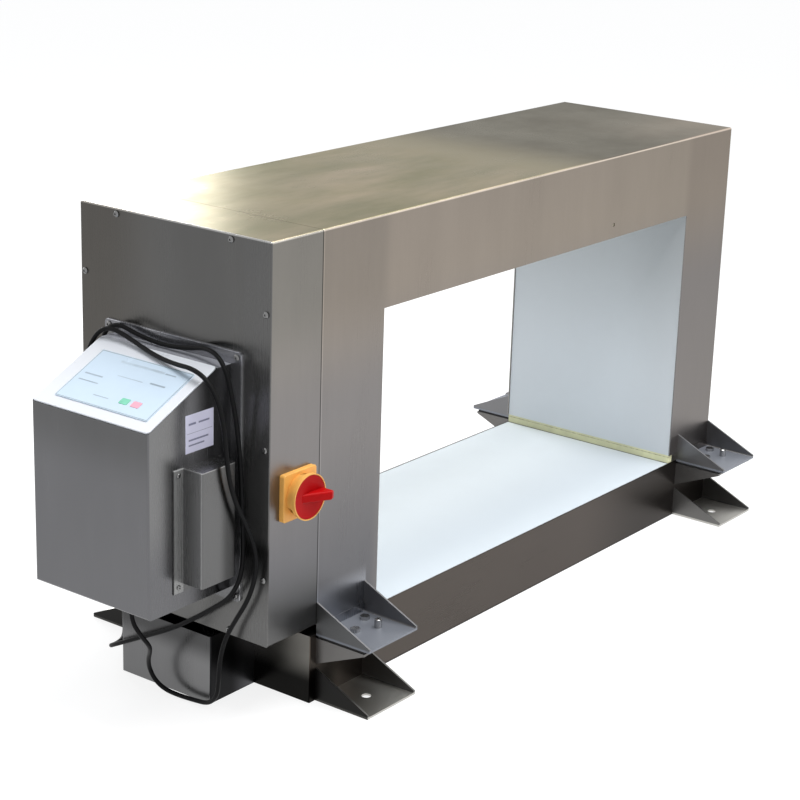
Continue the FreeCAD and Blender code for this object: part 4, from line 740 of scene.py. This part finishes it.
fastener_steel = ground_steel("fastener_steel", grey(0.4), "Z", 0.25, cloud=0.1, streak=0.05)
dress(fastener_steel, "frame_bolts", "clamp_screws", "jack_studs", "isolator_shaft")
# the small screws are the same steel as the bolts, painted darker as shade
screw_steel = ground_steel("screw_steel", grey(0.2), "Z", 0.22, cloud=0.1, streak=0.05)
dress(screw_steel, "case_screws", "cover_screws")

# ---- Mains lead --------------------------------------------------------------------------------
# A rubber-sheathed lead, 6.5 mm across, held by a gland under the operator box. It hangs over
# the box in a doubled loop, and its spare length is wound up and tied behind the base.

LEAD_RADIUS = 0.00325
COIL_CENTRE = Vector((-0.385, 0.225, 0))
COIL_TURN_RADII = (0.0425, 0.036, 0.0295, 0.0295, 0.036, 0.0425)
COIL_LOW, COIL_HIGH = 0.00425, 0.01075      # heights of its lower and upper layer
COIL_START = math.radians(-90)
STEP_OVER = 0.75                            # share of a lap after which it moves to the next turn
POINTS_A_TURN = 14

lead_route = [
    # down from the gland to the floor, along the cable box's foot, and up beside it
    (-0.745, 0, 0.153), (-0.745, 0, 0.135), (-0.738, -0.012, 0.113), (-0.721, -0.012, 0.092),
    (-0.707, 0.002, 0.074), (-0.698, 0.014, 0.056), (-0.69, 0.02, 0.038), (-0.684, 0.015, 0.019),
    (-0.679, 0, 0.007), (-0.675, -0.022, 0.0034), (-0.672, -0.052, 0.0036), (-0.674, -0.08, 0.008),
    (-0.677, -0.098, 0.026), (-0.679, -0.103, 0.052), (-0.678, -0.104, 0.084),
    (-0.676, -0.112, 0.118), (-0.674, -0.129, 0.15), (-0.672, -0.147, 0.18), (-0.67, -0.158, 0.21),
    # up past the side cover, to the top of the operator box's slope
    (-0.669, -0.163, 0.24), (-0.672, -0.16, 0.27), (-0.683, -0.156, 0.299), (-0.7, -0.153, 0.332),
    (-0.714, -0.152, 0.371), (-0.719, -0.151, 0.413), (-0.719, -0.146, 0.452),
    (-0.722, -0.137, 0.485), (-0.725, -0.12, 0.508), (-0.722, -0.092, 0.515),
    (-0.714, -0.057, 0.511),
    # over the slope to the far side of the operator box
    (-0.706, -0.016, 0.511), (-0.697, 0.024, 0.516), (-0.692, 0.057, 0.523),
    (-0.691, 0.088, 0.529), (-0.694, 0.108, 0.521), (-0.701, 0.119, 0.499), (-0.711, 0.12, 0.472),
    # a loop that hangs down the far side
    (-0.725, 0.119, 0.443), (-0.738, 0.118, 0.413), (-0.743, 0.118, 0.384), (-0.743, 0.118, 0.356),
    (-0.733, 0.118, 0.333), (-0.714, 0.118, 0.322), (-0.69, 0.119, 0.326), (-0.675, 0.12, 0.347),
    (-0.669, 0.121, 0.376), (-0.669, 0.121, 0.408), (-0.67, 0.121, 0.439), (-0.672, 0.121, 0.464),
    (-0.674, 0.122, 0.488), (-0.675, 0.119, 0.508), (-0.674, 0.107, 0.524), (-0.672, 0.087, 0.529),
    # back over the flat top, and down the right side
    (-0.671, 0.057, 0.521), (-0.672, 0.02, 0.517), (-0.674, -0.012, 0.518),
    (-0.673, -0.043, 0.522), (-0.677, -0.075, 0.53), (-0.685, -0.104, 0.528),
    (-0.689, -0.124, 0.51), (-0.687, -0.131, 0.48), (-0.68, -0.133, 0.444),
    (-0.674, -0.134, 0.402), (-0.672, -0.136, 0.353), (-0.672, -0.138, 0.304),
    (-0.672, -0.141, 0.255), (-0.673, -0.138, 0.215), (-0.673, -0.118, 0.18),
    # across the end panel, under the operator box
    (-0.673, -0.087, 0.156), (-0.674, -0.05, 0.129), (-0.674, -0.013, 0.105),
    (-0.674, 0.024, 0.085), (-0.675, 0.062, 0.066), (-0.676, 0.097, 0.048),
    # behind the cable box, over the foot bracket and down to the coil
    (-0.666, 0.124, 0.033), (-0.638, 0.139, 0.022), (-0.608, 0.153, 0.017), (-0.585, 0.173, 0.022),
    (-0.567, 0.195, 0.039), (-0.544, 0.211, 0.046), (-0.503, 0.215, 0.042), (-0.462, 0.214, 0.044),
    (-0.44, 0.208, 0.042), (-0.423, 0.197, 0.029), (-0.409, 0.187, 0.013),
    (-0.397, 0.1825, 0.00425)]

coil_turns = len(COIL_TURN_RADII)
for step in range(1, coil_turns * POINTS_A_TURN + 1):
    lap, along = divmod(step, POINTS_A_TURN)
    following = min(lap + 1, coil_turns - 1)
    lap = min(lap, coil_turns - 1)
    shift = max(0.0, (along / POINTS_A_TURN - STEP_OVER) / (1 - STEP_OVER))
    levels = [COIL_LOW if n < coil_turns / 2 else COIL_HIGH for n in (lap, following)]
    radius = COIL_TURN_RADII[lap] + (COIL_TURN_RADII[following] - COIL_TURN_RADII[lap]) * shift
    level = levels[0] + (levels[1] - levels[0]) * shift
    angle = COIL_START + 2 * math.pi * step / POINTS_A_TURN
    # the lead cuts inside its points, so they lie a little outside the turn
    radius /= math.cos(math.pi / POINTS_A_TURN)
    lead_route.append((COIL_CENTRE.x + radius * math.cos(angle),
                       COIL_CENTRE.y + radius * math.sin(angle), level))

# from the coil to the plug that lies beside it
lead_route += [(-0.368, 0.1835, 0.011), (-0.356, 0.187, 0.0125), (-0.345, 0.194, 0.0155),
               (-0.331, 0.2, 0.019), (-0.3175, 0.2, 0.019)]

lead_rubber = moulded("lead_rubber", (0.005, 0.005, 0.0055), 0.45, grain_scale=1400.0,
                      grain=0.00003, gloss=0.1)

lead_curve = bpy.data.curves.new("power_lead", "CURVE")
lead_curve.dimensions = "3D"
lead_curve.bevel_depth = LEAD_RADIUS
lead_curve.bevel_resolution = 5
lead_curve.resolution_u = 8
lead_curve.use_fill_caps = True
spline = lead_curve.splines.new("NURBS")
spline.points.add(len(lead_route) - 1)
for point, place in zip(spline.points, lead_route):
    point.co = (*place, 1)
spline.order_u = 3
spline.use_endpoint_u = True
lead_curve.materials.append(lead_rubber)
power_lead = bpy.data.objects.new("power_lead", lead_curve)
bpy.context.collection.objects.link(power_lead)
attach(power_lead, "machine")
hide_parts("mains_lead", "mains_lead_coil", "mains_lead_tail")

# the plug and the relief are moulded rubber, the gland nylon, and the tie a band of hook and loop
plug_rubber = moulded("plug_rubber", (0.018, 0.018, 0.019), 0.5, grain_scale=700.0, grain=0.00005)
dress(plug_rubber, "mains_plug", "mains_lead_relief")
gland_nylon = moulded("gland_nylon", (0.022, 0.022, 0.024), 0.38)
dress(gland_nylon, "mains_gland")
tie_loop = moulded("tie_loop", (0.03, 0.03, 0.032), 0.85, grain_scale=2500.0, grain=0.0002)
dress(tie_loop, "lead_tie")
